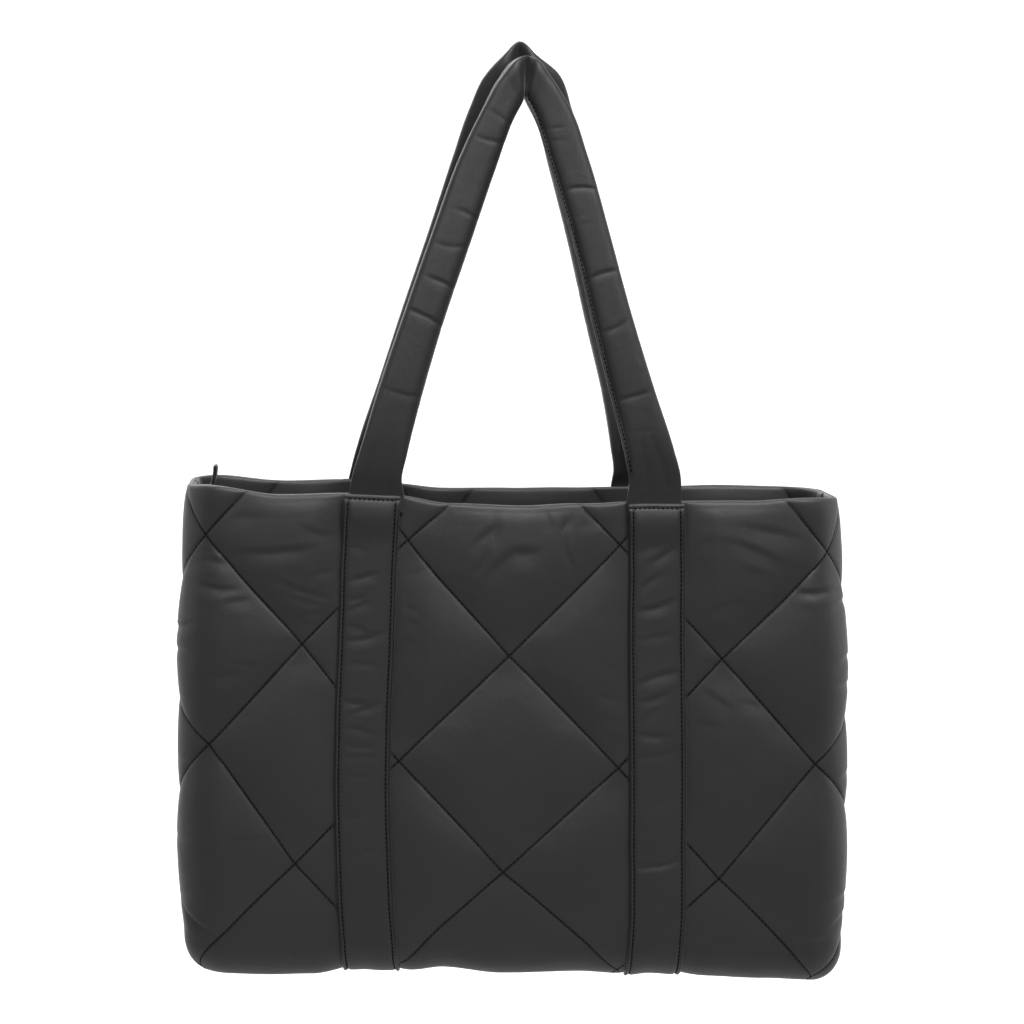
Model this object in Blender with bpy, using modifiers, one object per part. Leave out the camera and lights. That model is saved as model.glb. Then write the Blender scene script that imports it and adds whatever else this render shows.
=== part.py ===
"""Puffer tote bag: two padded quilted halves, a quilted base, four bands, two padded handles and a zip tab.

Metres, +Z up, the front faces -Y. The origin is the place in the handles' crotch where the bag hangs.
Sizes are worked out in the bag's own frame: x from the middle of the body, y from the middle of its depth
and z up from the base. put() carries them to the hanging frame.
"""

import math

import bmesh
import bpy
import numpy as np

BAG = "puffer_tote_bag"
GAP = 0.0003

# Colours as linear red, green and blue.
PANEL_COLOUR = (0.037, 0.036, 0.036)
BAND_COLOUR = (0.035, 0.034, 0.034)
HANDLE_COLOUR = (0.042, 0.041, 0.041)
TAPE_COLOUR = (0.010, 0.010, 0.010)

# Body: the middle of the padded wall, seen from above, is a rounded rectangle.
HANG_HEIGHT = 0.5745
BODY_CENTRE_X = -0.008
HALF_WIDTH_BASE = 0.2165
HALF_WIDTH_MIDDLE = 0.2180
HALF_WIDTH_RIM = 0.2120
HALF_DEPTH_BASE = 0.0505
HALF_DEPTH_MIDDLE = 0.0530
HALF_DEPTH_RIM = 0.0505
CORNER_RADIUS = 0.026
CURL_RADIUS = 0.020
BASE_LIFT = -0.0030
WALL_LENGTH = 0.3252
SLOPE = 0.026

# Padding: half the wall's thickness at a stitched line, and how much more there is between the lines.
SEAM_HALF = 0.0020
PUFF = 0.0046
PUFF_POWER = 0.45
PRESS_WIDTH = 0.020
PRESS_POWER = 0.6
RIM_HALVES = ((0.0, 0.0012), (0.0015, 0.0032), (0.0050, 0.0048), (0.0125, 0.0066))

# Quilting: two families of slanted lines that cross at the corners of diamonds.
DIAMOND_WIDTH = 0.1370
DIAMOND_HEIGHT = 0.1450
CROSSING_U = -0.0705
CROSSING_V = 0.0075
CELLS = 8
BASE_CELLS = 4
BASE_LEAST_PUFF = 0.25
SEAM_GAP = 0.0006
SEAM_ROW = 0.0030

# Bands: flat stitched straps from the rim to the base seam.
BAND_WIDTH = 0.038
BAND_EDGE = 0.0020
BAND_MIDDLE = 0.0028
BAND_START = 0.0045
BAND_TOP = 0.0025
BAND_MARGIN = 0.0015
BAND_COLUMNS = ((-0.5, BAND_EDGE), (-0.2, BAND_MIDDLE), (0.2, BAND_MIDDLE), (0.5, BAND_EDGE))
STEP_BELOW_FOOT = 0.0045
STEP_LENGTH = 0.0035
BAND_CENTRES = {"left": -0.0945, "right": 0.0925}
BAND_BOW = -0.0055
BOW_CENTRE = -0.085
BOW_REACH = 0.060

# Handles: padded tubes whose flattened feet are tucked under the top of the bands.
FOOT_THICKNESS = 0.0030
FOOT_DEPTH = 0.0118
FOOT_WIDTH = 0.0356
FOOT_SQUARE = 0.3
TUBE_SQUARE = 0.85
TUBE_START = 0.060
HANDLE_SIDES = 14
HANDLE_STEPS = 2
PEAK_Y = 0.0118
LEAN_POWER = 1.06

# Zip tab: a folded strip that stands in the left end of the opening.
TAB_WIDTH = 0.016

# Rim and base, along the width: how far the edge rises above its even line.
RIM_WAVES = (  # x, rise
    (-0.215, 0.0035),
    (-0.200, 0.0060),
    (-0.155, 0.0014),
    (-0.110, 0.0032),
    (-0.080, 0.0026),
    (-0.045, -0.0020),
    (0.000, -0.0028),
    (0.040, -0.0006),
    (0.090, 0.0022),
    (0.150, 0.0034),
    (0.195, 0.0060),
    (0.215, 0.0030),
)
BASE_WAVES = (  # x, rise
    (-0.215, -0.0010),
    (-0.167, -0.0028),
    (-0.135, -0.0018),
    (-0.100, 0.0014),
    (-0.070, 0.0002),
    (-0.048, 0.0034),
    (-0.010, 0.0002),
    (0.042, 0.0028),
    (0.090, 0.0010),
    (0.127, -0.0006),
    (0.166, -0.0018),
    (0.215, -0.0020),
)
WAVE_REACH = 0.070

# Dents and folds of the front: place and direction along the wall, half length, half width, depth.
FRONT_DENTS = (  # u, v, angle, half_length, half_width, depth
    (-0.185, 0.271, -18, 0.040, 0.011, 0.0030),
    (-0.150, 0.241, -24, 0.034, 0.010, 0.0026),
    (-0.195, 0.205, 12, 0.030, 0.011, 0.0026),
    (-0.205, 0.054, -30, 0.022, 0.010, 0.0036),
    (0.205, 0.054, 8, 0.024, 0.010, 0.0036),
    (0.205, 0.261, 10, 0.030, 0.010, 0.0030),
    (-0.030, 0.294, 60, 0.020, 0.010, 0.0022),
    (0.030, 0.294, -60, 0.022, 0.010, 0.0024),
)

# Handle outlines: inner edge, outer edge and the tube's thickness from front to back, from foot to peak.
FRONT_LEFT_LEG = (  # inner_x, inner_z, outer_x, outer_z, depth
    (-0.0750, 0.325, -0.1072, 0.328, 0.009),
    (-0.0718, 0.340, -0.1020, 0.345, 0.014),
    (-0.0627, 0.375, -0.0900, 0.384, 0.019),
    (-0.0477, 0.425, -0.0727, 0.434, 0.021),
    (-0.0302, 0.475, -0.0548, 0.484, 0.021),
    (-0.0124, 0.526, -0.0352, 0.536, 0.021),
    (-0.0005, 0.558, -0.0195, 0.568, 0.022),
    (0.0040, 0.567, -0.0095, 0.586, 0.022),
    (0.0062, 0.572, 0.0022, 0.599, 0.021),
)
FRONT_RIGHT_LEG = (  # inner_x, inner_z, outer_x, outer_z, depth
    (0.0730, 0.324, 0.1068, 0.327, 0.009),
    (0.0705, 0.338, 0.1028, 0.343, 0.014),
    (0.0620, 0.374, 0.0905, 0.382, 0.019),
    (0.0498, 0.425, 0.0752, 0.434, 0.021),
    (0.0385, 0.475, 0.0622, 0.484, 0.021),
    (0.0233, 0.527, 0.0482, 0.535, 0.021),
    (0.0135, 0.559, 0.0362, 0.568, 0.022),
    (0.0105, 0.567, 0.0262, 0.585, 0.022),
    (0.0086, 0.572, 0.0152, 0.599, 0.021),
)
BACK_LEFT_LEG = (  # inner_x, inner_z, outer_x, outer_z, depth
    (-0.0745, 0.324, -0.1068, 0.327, 0.009),
    (-0.0720, 0.339, -0.1018, 0.345, 0.014),
    (-0.0620, 0.375, -0.0888, 0.384, 0.019),
    (-0.0475, 0.425, -0.0725, 0.434, 0.021),
    (-0.0320, 0.475, -0.0555, 0.484, 0.021),
    (-0.0165, 0.526, -0.0382, 0.537, 0.021),
    (-0.0065, 0.556, -0.0275, 0.568, 0.022),
    (-0.0015, 0.570, -0.0176, 0.589, 0.022),
    (0.0030, 0.579, -0.0035, 0.604, 0.022),
)
BACK_RIGHT_LEG = (  # inner_x, inner_z, outer_x, outer_z, depth
    (0.0732, 0.323, 0.1068, 0.326, 0.009),
    (0.0715, 0.338, 0.1018, 0.343, 0.014),
    (0.0655, 0.374, 0.0912, 0.383, 0.019),
    (0.0530, 0.425, 0.0778, 0.434, 0.021),
    (0.0412, 0.475, 0.0643, 0.484, 0.021),
    (0.0272, 0.527, 0.0500, 0.535, 0.021),
    (0.0190, 0.556, 0.0405, 0.568, 0.022),
    (0.0122, 0.570, 0.0312, 0.591, 0.022),
    (0.0078, 0.579, 0.0150, 0.604, 0.022),
)
FRONT_PEAK = (0.0073, 0.5745, 0.0090, 0.6010, 0.016)
BACK_PEAK = (0.0052, 0.5820, 0.0058, 0.6120, 0.018)

# Zip tab: the middle of the strip, as x and height above the rim.
TAB_ROWS = (  # x, rise, thickness
    (-0.2080, -0.021, 0.0026),
    (-0.2078, -0.011, 0.0028),
    (-0.2040, -0.003, 0.0028),
    (-0.2002, 0.004, 0.0028),
    (-0.1990, 0.011, 0.0028),
    (-0.1990, 0.0148, 0.0024),
    (-0.1990, 0.0160, 0.0012),
)


def clear_scene():
    """Removes every object, so that the file can be run again."""
    for old in list(bpy.data.objects):
        bpy.data.objects.remove(old, do_unlink=True)


def ease(t):
    """Smooth step from 0 to 1, level at both ends."""
    t = np.clip(t, 0.0, 1.0)
    return t * t * (3.0 - 2.0 * t)


def wave(rows, x):
    """Edge waves at x, eased from row to row."""
    places = np.array([row[0] for row in rows])
    rises = np.array([row[1] for row in rows])
    x = np.clip(x, places[0], places[-1])
    i = np.clip(np.searchsorted(places, x) - 1, 0, len(rows) - 2)
    t = (x - places[i]) / (places[i + 1] - places[i])
    return rises[i] + (rises[i + 1] - rises[i]) * ease(t)


def between(base, middle, rim, t):
    """A size that goes from base to rim through the middle of the height, on one parabola."""
    return base * (1 - t) * (1 - 2 * t) + middle * 4 * t * (1 - t) + rim * t * (2 * t - 1)


def section(u, half_width, half_depth):
    """Front half of the rounded rectangle: points and outward normals at arc length u from the middle.

    A straight front, a quarter circle and a straight end, which is stretched so that the last u lies on the
    side seam.
    """
    flat = half_width - CORNER_RADIUS
    arc = CORNER_RADIUS * math.pi / 2
    end = half_depth - CORNER_RADIUS
    side = np.sign(u)
    a = np.abs(u)
    turn = np.clip((a - flat) / CORNER_RADIUS, 0.0, math.pi / 2)
    along = np.clip(a - flat - arc, 0.0, end)
    x = np.minimum(a, flat) + CORNER_RADIUS * np.sin(turn)
    y = half_depth - CORNER_RADIUS * (1 - np.cos(turn)) - along
    return side * x, -y, side * np.sin(turn), -np.cos(turn)


def half_perimeter(half_width, half_depth):
    return half_width - CORNER_RADIUS + CORNER_RADIUS * math.pi / 2 + half_depth - CORNER_RADIUS


END_U = half_perimeter(HALF_WIDTH_MIDDLE, HALF_DEPTH_MIDDLE)


def wall(u, v, out=0.0):
    """Front wall: the point out beyond the middle of the padding, u along the width and v up the wall.

    v starts at the base seam, follows the curl that turns under the body and then goes straight up.
    """
    t = v / WALL_LENGTH
    half_width = between(HALF_WIDTH_BASE, HALF_WIDTH_MIDDLE, HALF_WIDTH_RIM, t)
    half_depth = between(HALF_DEPTH_BASE, HALF_DEPTH_MIDDLE, HALF_DEPTH_RIM, t)
    bow = BAND_BOW * np.exp(-(((u - BOW_CENTRE) / BOW_REACH) ** 2)) * np.sin(math.pi * t)
    stretch = half_perimeter(half_width, half_depth) / END_U
    x, y, nx, ny = section(u * stretch + bow, half_width, half_depth)
    curl = np.minimum(v / CURL_RADIUS, math.pi / 2)
    inset = CURL_RADIUS * (1 - np.sin(curl))
    z = BASE_LIFT + CURL_RADIUS * (1 - np.cos(curl)) + np.maximum(v - CURL_RADIUS * math.pi / 2, 0.0)
    level = np.sin(curl)
    x = x + nx * (out * level - inset)
    y = y + ny * (out * level - inset)
    z = z - out * np.cos(curl)
    low = ease(1 - v / WAVE_REACH) * wave(BASE_WAVES, x)
    high = ease(1 - (WALL_LENGTH - v) / WAVE_REACH) * wave(RIM_WAVES, x)
    return np.stack(np.broadcast_arrays(x, y, z + low + high - SLOPE * x), axis=-1)


def diamonds(u, v):
    """Puff between the stitched lines: 0 on a line and 1 in the middle of a diamond."""
    i = (u - CROSSING_U) / DIAMOND_WIDTH
    j = (v - CROSSING_V) / DIAMOND_HEIGHT
    lift = np.abs(np.sin(math.pi * (i - j)) * np.sin(math.pi * (i + j)))
    return lift**PUFF_POWER


def beside_bands(u):
    """0 under a band and 1 a little way off it."""
    clear = np.ones_like(u)
    for centre in BAND_CENTRES.values():
        off = np.abs(u - centre) - BAND_WIDTH / 2 - BAND_MARGIN - 1e-6
        clear = np.minimum(clear, np.clip(off / PRESS_WIDTH, 0.0, 1.0) ** PRESS_POWER)
    return clear


def half_thickness(u, v):
    """Half the padded wall's thickness, pulled in at the quilting, the bands, the seams and the rim."""
    side = np.clip((END_U - np.abs(u)) / PRESS_WIDTH, 0.0, 1.0) ** PRESS_POWER
    seam = np.clip(v / PRESS_WIDTH, 0.0, 1.0) ** PRESS_POWER
    half = SEAM_HALF + PUFF * diamonds(u, v) * beside_bands(u) * side * seam
    below = [row[0] for row in RIM_HALVES]
    most = [row[1] for row in RIM_HALVES]
    return np.minimum(half, np.interp(WALL_LENGTH - v, below, most))


def dent_depth(u, v, rows):
    """How far the folds and dents push the wall in: each is a long bump with a bell-shaped section."""
    depth = np.zeros(np.broadcast(u, v).shape)
    for du, dv, angle, half_length, half_width, deep in rows:
        c, s = math.cos(math.radians(angle)), math.sin(math.radians(angle))
        along = ((u - du) * c + (v - dv) * s) / half_length
        across = ((v - dv) * c - (u - du) * s) / half_width
        depth += deep * np.exp(-(along**2) - across**2)
    return depth * beside_bands(np.broadcast_to(u, depth.shape))


def wall_columns():
    """Places along the width: the quilting's own steps, the bands' edges and the two side seams."""
    step = DIAMOND_WIDTH / CELLS
    reach = int((END_U - CROSSING_U) / step)
    places = [CROSSING_U + step * k for k in range(-reach, reach + 1)]
    places = [u for u in places if abs(u) < END_U - step / 3]
    for centre in BAND_CENTRES.values():
        for side in (-1, 1):
            places.append(centre + side * (BAND_WIDTH / 2 + BAND_MARGIN))
    return np.array(sorted(places + [-END_U, END_U]))


def wall_rows():
    """Places up the wall: the base seam, the quilting's own steps and the turn of the rim."""
    step = DIAMOND_HEIGHT / CELLS
    places = [0.0, SEAM_ROW, CROSSING_V + step / 2]
    places += [CROSSING_V + step * k for k in range(2 * CELLS + 1)]
    places += [WALL_LENGTH - row[0] for row in RIM_HALVES]
    return np.array(sorted(places))


def put(points, back=False):
    """Carries points from the bag's own frame to the hanging frame, turned to the back half if asked."""
    points = np.array(points, dtype=float)
    if back:
        points[..., 1] *= -1
    return points + (BODY_CENTRE_X, 0.0, -HANG_HEIGHT)


def new_object(name, points, faces, material, smooth_angle=40):
    """One named object in the bag's collection, shaded smooth, with its own material."""
    mesh = bpy.data.meshes.new(name)
    mesh.from_pydata([tuple(p) for p in np.reshape(points, (-1, 3))], [], faces)
    mesh.validate()
    solid = bpy.data.objects.new(name, mesh)
    bpy.data.collections[BAG].objects.link(solid)
    mesh.materials.append(material)
    face_out(mesh)
    mesh.shade_smooth()
    mesh.set_sharp_from_angle(angle=math.radians(smooth_angle))
    return solid


def face_out(mesh):
    """Turns the faces of a closed mesh outwards, or makes those of an open one agree."""
    work = bmesh.new()
    work.from_mesh(mesh)
    bmesh.ops.recalc_face_normals(work, faces=work.faces[:])
    work.to_mesh(mesh)
    work.free()


def quilt_faces(columns, rows):
    """Triangles of a grid, each cell cut along the stitched line that crosses it."""
    faces = []
    step_u = DIAMOND_WIDTH / CELLS
    step_v = DIAMOND_HEIGHT / CELLS
    count = len(rows)
    for i in range(len(columns) - 1):
        a = (columns[i] + columns[i + 1]) / 2 - CROSSING_U
        for j in range(count - 1):
            b = (rows[j] + rows[j + 1]) / 2 - CROSSING_V
            rising = abs(math.sin(math.pi * (a / step_u - b / step_v) / CELLS))
            falling = abs(math.sin(math.pi * (a / step_u + b / step_v) / CELLS))
            p, q = i * count + j, (i + 1) * count + j
            if rising < falling:
                faces += [(p, q, q + 1), (p, q + 1, p + 1)]
            else:
                faces += [(p, q, p + 1), (q, q + 1, p + 1)]
    return faces


def give_thickness(solid, halves):
    """Solidify on the middle surface, as thick at each point as the vertex group says."""
    most = float(np.max(halves))
    group = solid.vertex_groups.new(name="padding")
    for index, half in enumerate(np.ravel(halves)):
        group.add([index], float(half) / most, "REPLACE")
    wall_maker = solid.modifiers.new("padding", "SOLIDIFY")
    wall_maker.thickness = 2 * most
    wall_maker.offset = 0.0
    wall_maker.use_even_offset = False
    wall_maker.vertex_group = group.name


def make_shell(name, material, back=False, dents=()):
    """One half of the body, from side seam to side seam and from the base seam to the rim."""
    columns, rows = wall_columns(), wall_rows()
    u, v = np.meshgrid(columns, rows, indexing="ij")
    points = wall(u, v, -dent_depth(u, v, dents))
    seam = np.abs(u) > END_U - 1e-6
    points[..., 1] = np.where(seam, -GAP / 2, points[..., 1])
    solid = new_object(name, put(points, back), quilt_faces(columns, rows), material, 60)
    give_thickness(solid, half_thickness(u, v))
    return solid


def base_edge():
    """The ring that the base panel fills: the front half of the base seam, a little inside it."""
    columns = wall_columns()
    stretch = half_perimeter(HALF_WIDTH_BASE, HALF_DEPTH_BASE) / END_U
    _, _, nx, ny = section(columns * stretch, HALF_WIDTH_BASE, HALF_DEPTH_BASE)
    front = np.flatnonzero(np.abs(nx) < 0.999)
    keep = slice(front[0] - 1, front[-1] + 2)
    edge = wall(columns, np.zeros_like(columns))
    edge[:, 0] -= nx * SEAM_GAP
    edge[:, 1] -= ny * SEAM_GAP
    return edge[keep]


def make_base(name, material):
    """The base panel: a quilted pad that fills the ring of the two halves' base seams."""
    edge = base_edge()
    across = np.linspace(-1.0, 1.0, BASE_CELLS + 1)
    points = np.repeat(edge[:, None, :], len(across), axis=1)
    points[..., 1] = edge[:, None, 1] * across
    from_side = (1 - np.abs(across)) * np.abs(edge[:, None, 1])
    from_end = (edge[-1, 0] - np.abs(edge[:, 0]))[:, None]
    pulled = np.clip(np.minimum(from_side, from_end) / PRESS_WIDTH, 0.0, 1.0) ** PRESS_POWER
    puff = np.maximum(diamonds(points[..., 0], points[..., 1] + CROSSING_V), BASE_LEAST_PUFF)
    count = len(across)
    faces = []
    for i in range(len(edge) - 1):
        for j in range(count - 1):
            p, q = i * count + j, (i + 1) * count + j
            faces.append((p, q, q + 1, p + 1))
    solid = new_object(name, put(points), faces, material, 60)
    give_thickness(solid, SEAM_HALF + PUFF * puff * pulled)
    return solid


def loft(name, rings, material, smooth_angle=50):
    """Closed solid through rings of points, with a flat cap at each end."""
    rings = np.asarray(rings)
    count, sides = rings.shape[:2]
    faces = []
    for i in range(count - 1):
        for j in range(sides):
            k = (j + 1) % sides
            faces.append((i * sides + j, i * sides + k, (i + 1) * sides + k, (i + 1) * sides + j))
    faces.append(tuple(range(sides)))
    faces.append(tuple((count - 1) * sides + j for j in range(sides)))
    return new_object(name, rings, faces, material, smooth_angle)


def make_band(name, centre, material, back=False):
    """A flat strap, a little fuller between its edges, that steps out at the top over the handle's foot."""
    foot_low = WALL_LENGTH - FOOT_DEPTH
    top = WALL_LENGTH - BAND_TOP
    step = foot_low - STEP_BELOW_FOOT
    over = step + STEP_LENGTH
    rows = wall_rows()
    rows = rows[(rows > BAND_START + 0.001) & (rows < step - 0.001)]
    rows = np.concatenate([[BAND_START], rows, [step, over, (over + top) / 2, top]])
    across = np.array([column[0] for column in BAND_COLUMNS]) * BAND_WIDTH
    full = np.array([column[1] for column in BAND_COLUMNS])
    u, v = centre + across[None, :], rows[:, None]
    under = SEAM_HALF + GAP + np.where(v >= over, FOOT_THICKNESS + GAP, 0.0)
    lower = wall(u, v, under)
    upper = wall(u, v, under + full)
    rings = np.concatenate([lower, upper[:, ::-1]], axis=1)
    return loft(name, put(rings, back), material)


def smooth_rows(rows, steps):
    """Rows between the given ones, on cubic curves whose slopes come from the neighbouring rows."""
    rows = np.array(rows, dtype=float)
    gaps = np.linalg.norm(np.diff(rows[:, :6], axis=0), axis=1)
    at = np.concatenate([[0.0], np.cumsum(gaps)])
    slopes = np.gradient(rows, at, axis=0)
    t = np.linspace(0.0, 1.0, steps, endpoint=False)[None, :, None]
    p, q = rows[:-1, None], rows[1:, None]
    m, n = slopes[:-1, None] * gaps[:, None, None], slopes[1:, None] * gaps[:, None, None]
    curve = (2 * t**3 - 3 * t**2 + 1) * p + (t**3 - 2 * t**2 + t) * m
    curve = curve + (3 * t**2 - 2 * t**3) * q + (t**3 - t**2) * n
    return np.concatenate([curve.reshape(-1, rows.shape[1]), rows[-1:]])


def foot_rows(centre):
    """Three flat rows of a handle's foot, between the wall and the top of its band."""
    half = math.copysign(FOOT_WIDTH / 2, centre)
    v = np.linspace(WALL_LENGTH - FOOT_DEPTH + GAP, WALL_LENGTH - GAP, 3)
    rows = []
    for x, y, z in wall(np.full(3, centre), v, SEAM_HALF + GAP + FOOT_THICKNESS / 2):
        rows.append((x - half, y, z, x + half, y, z, FOOT_THICKNESS, FOOT_SQUARE))
    return rows


def leg_rows(centre, leg, peak_height):
    """Rows of one leg, from its foot to just below the peak, leaning in from the wall to the peak."""
    rows = foot_rows(centre)
    foot_y, foot_z = rows[-1][1:3]
    for inner_x, inner_z, outer_x, outer_z, depth in leg:
        height = (inner_z + outer_z) / 2
        y = foot_y + (-PEAK_Y - foot_y) * ((height - foot_z) / (peak_height - foot_z)) ** LEAN_POWER
        square = FOOT_SQUARE + (TUBE_SQUARE - FOOT_SQUARE) * float(ease((height - foot_z) / TUBE_START))
        rows.append((inner_x, y, inner_z, outer_x, y, outer_z, depth, square))
    return rows


def handle_rows(left_leg, right_leg, peak):
    """All the rows of a handle, from its left foot over the peak to its right foot.

    Each row is the inner edge, the outer edge, the thickness and how square the section is.
    """
    inner_x, inner_z, outer_x, outer_z, depth = peak
    height = (inner_z + outer_z) / 2
    left = leg_rows(BAND_CENTRES["left"], left_leg, height)
    right = leg_rows(BAND_CENTRES["right"], right_leg, height)
    top = (inner_x, -PEAK_Y, inner_z, outer_x, -PEAK_Y, outer_z, depth, TUBE_SQUARE)
    return left + [top] + right[::-1]


def make_handle(name, left_leg, right_leg, peak, material, back=False):
    """A padded tube: rounded sections from the inner to the outer edge of each row."""
    rows = smooth_rows(handle_rows(left_leg, right_leg, peak), HANDLE_STEPS)
    inner, outer = rows[:, 0:3], rows[:, 3:6]
    middle = (inner + outer) / 2
    across = outer - inner
    along = np.gradient(middle, axis=0)
    out = np.cross(along, across)
    out /= np.linalg.norm(out, axis=1)[:, None]
    turn = np.linspace(0.0, 2 * math.pi, HANDLE_SIDES, endpoint=False)[None, :]
    square = rows[:, 7:8]
    c, s = np.cos(turn), np.sin(turn)
    wide = np.sign(c) * np.abs(c) ** square
    deep = np.sign(s) * np.abs(s) ** square
    rings = middle[:, None] + across[:, None] * (wide / 2)[..., None]
    rings = rings + out[:, None] * (deep * rows[:, 6:7] / 2)[..., None]
    return loft(name, put(rings, back), material)


def make_zip_tab(name, material):
    """A folded strip against the left end of the opening, bent inwards and standing above the rim."""
    rim = BASE_LIFT + CURL_RADIUS + WALL_LENGTH - CURL_RADIUS * math.pi / 2
    w = TAB_WIDTH / 2
    rings = []
    for x, rise, thickness in TAB_ROWS:
        t = thickness / 2
        quarter = [(w, t / 2), (w - t, t)]
        half = quarter + [(-y, off) for y, off in reversed(quarter)]
        ring = half + [(-y, -off) for y, off in half]
        rings.append([(x + off, y, rim - SLOPE * x + rise) for y, off in ring])
    return loft(name, put(rings), material, 35)


def make_material(name, colour, roughness):
    """Matte textile: a plain Principled surface with no metal in it."""
    material = bpy.data.materials.new(name)
    material.use_nodes = True
    shader = material.node_tree.nodes["Principled BSDF"]
    shader.inputs["Base Color"].default_value = (*colour, 1.0)
    shader.inputs["Roughness"].default_value = roughness
    shader.inputs["Metallic"].default_value = 0.0
    return material


def main():
    clear_scene()
    collection = bpy.data.collections.new(BAG)
    bpy.context.scene.collection.children.link(collection)
    front = make_material("front_shell_fabric", PANEL_COLOUR, 0.55)
    make_shell("front_shell", front, False, FRONT_DENTS)
    make_shell("back_shell", make_material("back_shell_fabric", PANEL_COLOUR, 0.55), True)
    make_base("base_panel", make_material("base_fabric", BAND_COLOUR, 0.60))
    for face, back in (("front", False), ("back", True)):
        for side, centre in BAND_CENTRES.items():
            name = f"{face}_{side}_band"
            make_band(name, centre, make_material(f"{name}_fabric", BAND_COLOUR, 0.60), back)
    front = make_material("front_handle_fabric", HANDLE_COLOUR, 0.55)
    make_handle("front_handle", FRONT_LEFT_LEG, FRONT_RIGHT_LEG, FRONT_PEAK, front)
    rear = make_material("back_handle_fabric", HANDLE_COLOUR, 0.55)
    make_handle("back_handle", BACK_LEFT_LEG, BACK_RIGHT_LEG, BACK_PEAK, rear, True)
    make_zip_tab("zip_tab", make_material("zip_tab_tape", TAPE_COLOUR, 0.70))


main()
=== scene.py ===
"""Puffer tote bag: the padded cloth, straps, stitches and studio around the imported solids.

Metres, +Z up, the front faces -Y. The origin is the place in the handles' crotch where the bag hangs.
Most shapes are functions of u and v: u runs along the width of one half of the body and v from the base
seam up its wall. The sizes are those of the solids, so that each piece lies where its solid is.
"""

import math

import bmesh
import bpy
import numpy as np
from bpy.props import FloatProperty, FloatVectorProperty, PointerProperty
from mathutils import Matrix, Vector


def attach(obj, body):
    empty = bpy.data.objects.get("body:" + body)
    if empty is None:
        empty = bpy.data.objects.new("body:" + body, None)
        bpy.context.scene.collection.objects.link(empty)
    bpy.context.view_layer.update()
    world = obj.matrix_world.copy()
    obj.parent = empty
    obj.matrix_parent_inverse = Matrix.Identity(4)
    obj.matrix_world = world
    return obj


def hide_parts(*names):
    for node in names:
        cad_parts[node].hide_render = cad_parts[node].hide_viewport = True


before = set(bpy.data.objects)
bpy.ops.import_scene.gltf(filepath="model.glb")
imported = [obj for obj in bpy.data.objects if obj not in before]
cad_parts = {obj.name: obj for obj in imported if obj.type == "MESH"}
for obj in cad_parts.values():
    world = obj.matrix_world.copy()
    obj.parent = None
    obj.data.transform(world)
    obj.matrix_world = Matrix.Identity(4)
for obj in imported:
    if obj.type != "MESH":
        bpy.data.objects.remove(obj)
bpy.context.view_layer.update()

bl_info = {
    "name": "Puffer tote bag",
    "version": (1, 0, 0),
    "blender": (4, 5, 0),
    "location": "3D View > Sidebar > Tote",
    "description": "Dresses the packed solids of a padded quilted tote bag",
    "category": "Object",
}

# Body: the middle of the padded wall, seen from above, is a rounded rectangle.
HANG_HEIGHT = 0.5745
BODY_CENTRE_X = -0.008
HALF_WIDTH = (0.2165, 0.2180, 0.2120)
HALF_DEPTH = (0.0505, 0.0530, 0.0505)
CORNER_RADIUS = 0.026
CURL_RADIUS = 0.020
BASE_LIFT = -0.0030
LOW_LEAN = 0.0070
LOW_REACH = 0.12
WALL_LENGTH = 0.3252
SLOPE = 0.026
WAVE_REACH = 0.070
BAND_BOW = -0.0055
BOW_CENTRE = -0.085
BOW_REACH = 0.060

# Quilting: stitched lines at both slants, which cross at the corners of diamonds.
DIAMOND_WIDTH = 0.1370
DIAMOND_HEIGHT = 0.1450
CROSSING_U = -0.0705
CROSSING_V = 0.0075
CELLS = 88
LINING_STEP = 3
LINE_SPACING = 1 / math.hypot(1 / DIAMOND_WIDTH, 1 / DIAMOND_HEIGHT)

# Padding of the wall.
SEAM_HALF = 0.0020
SEAM_TURN = 0.0035
PUFF_POWER = 0.45
PRESS_WIDTH = 0.020
PRESS_POWER = 0.6
LOW_PUFF = 0.45
LOW_PUFF_REACH = 0.13
RIM_RADIUS = 0.0040
RIM_SPREAD = 0.50
LEAST_POWER = 4.0
TINY = 1e-9
HAIR = 1e-6
NEARLY_ONE = 0.999
ON_LINE = TINY**PUFF_POWER * 10

# Blowing up of the cloth between the stitched lines.
PUFF_CLOTH = {
    "quality": 4,
    "mass": 0.15,
    "tension_stiffness": 12.0,
    "compression_stiffness": 12.0,
    "shear_stiffness": 4.0,
    "bending_stiffness": 0.05,
    "air_damping": 2.0,
    "vertex_group_mass": "held",
    "shrink_min": -0.004,
    "use_pressure": True,
    "uniform_pressure_force": 3.0,
}
PUFF_SKIP = 3
PUFF_FRAMES = 20
PUFF_START = 0.92
PUFF_MOST = 0.0016
PUFF_SHARE = 0.6
PUFF_SMOOTHING = 2

# Folds: a steep side above the line, a gentle one below, and a low ridge beside it.
FOLD_BEND = 0.16
FOLD_POWER = 1.35
FOLD_END_POWER = 2.4
FOLD_RIDGE = 0.18
RIDGE_PLACE = 2.0
RIDGE_HALF = 0.9
FOLD_ABOVE = 0.62
FOLD_BELOW = 1.7
BEND_TURN = 2.4  # radians from row to row of a table, so that each bends by another amount

# Rows in the turn of the rim, and the lining.
RIM_ROWS = (0.0, 0.0002, 0.0007, 0.0015, 0.0026, 0.0040, 0.0056, 0.0074, 0.0094)
LINING_SHARE = 0.75

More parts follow.
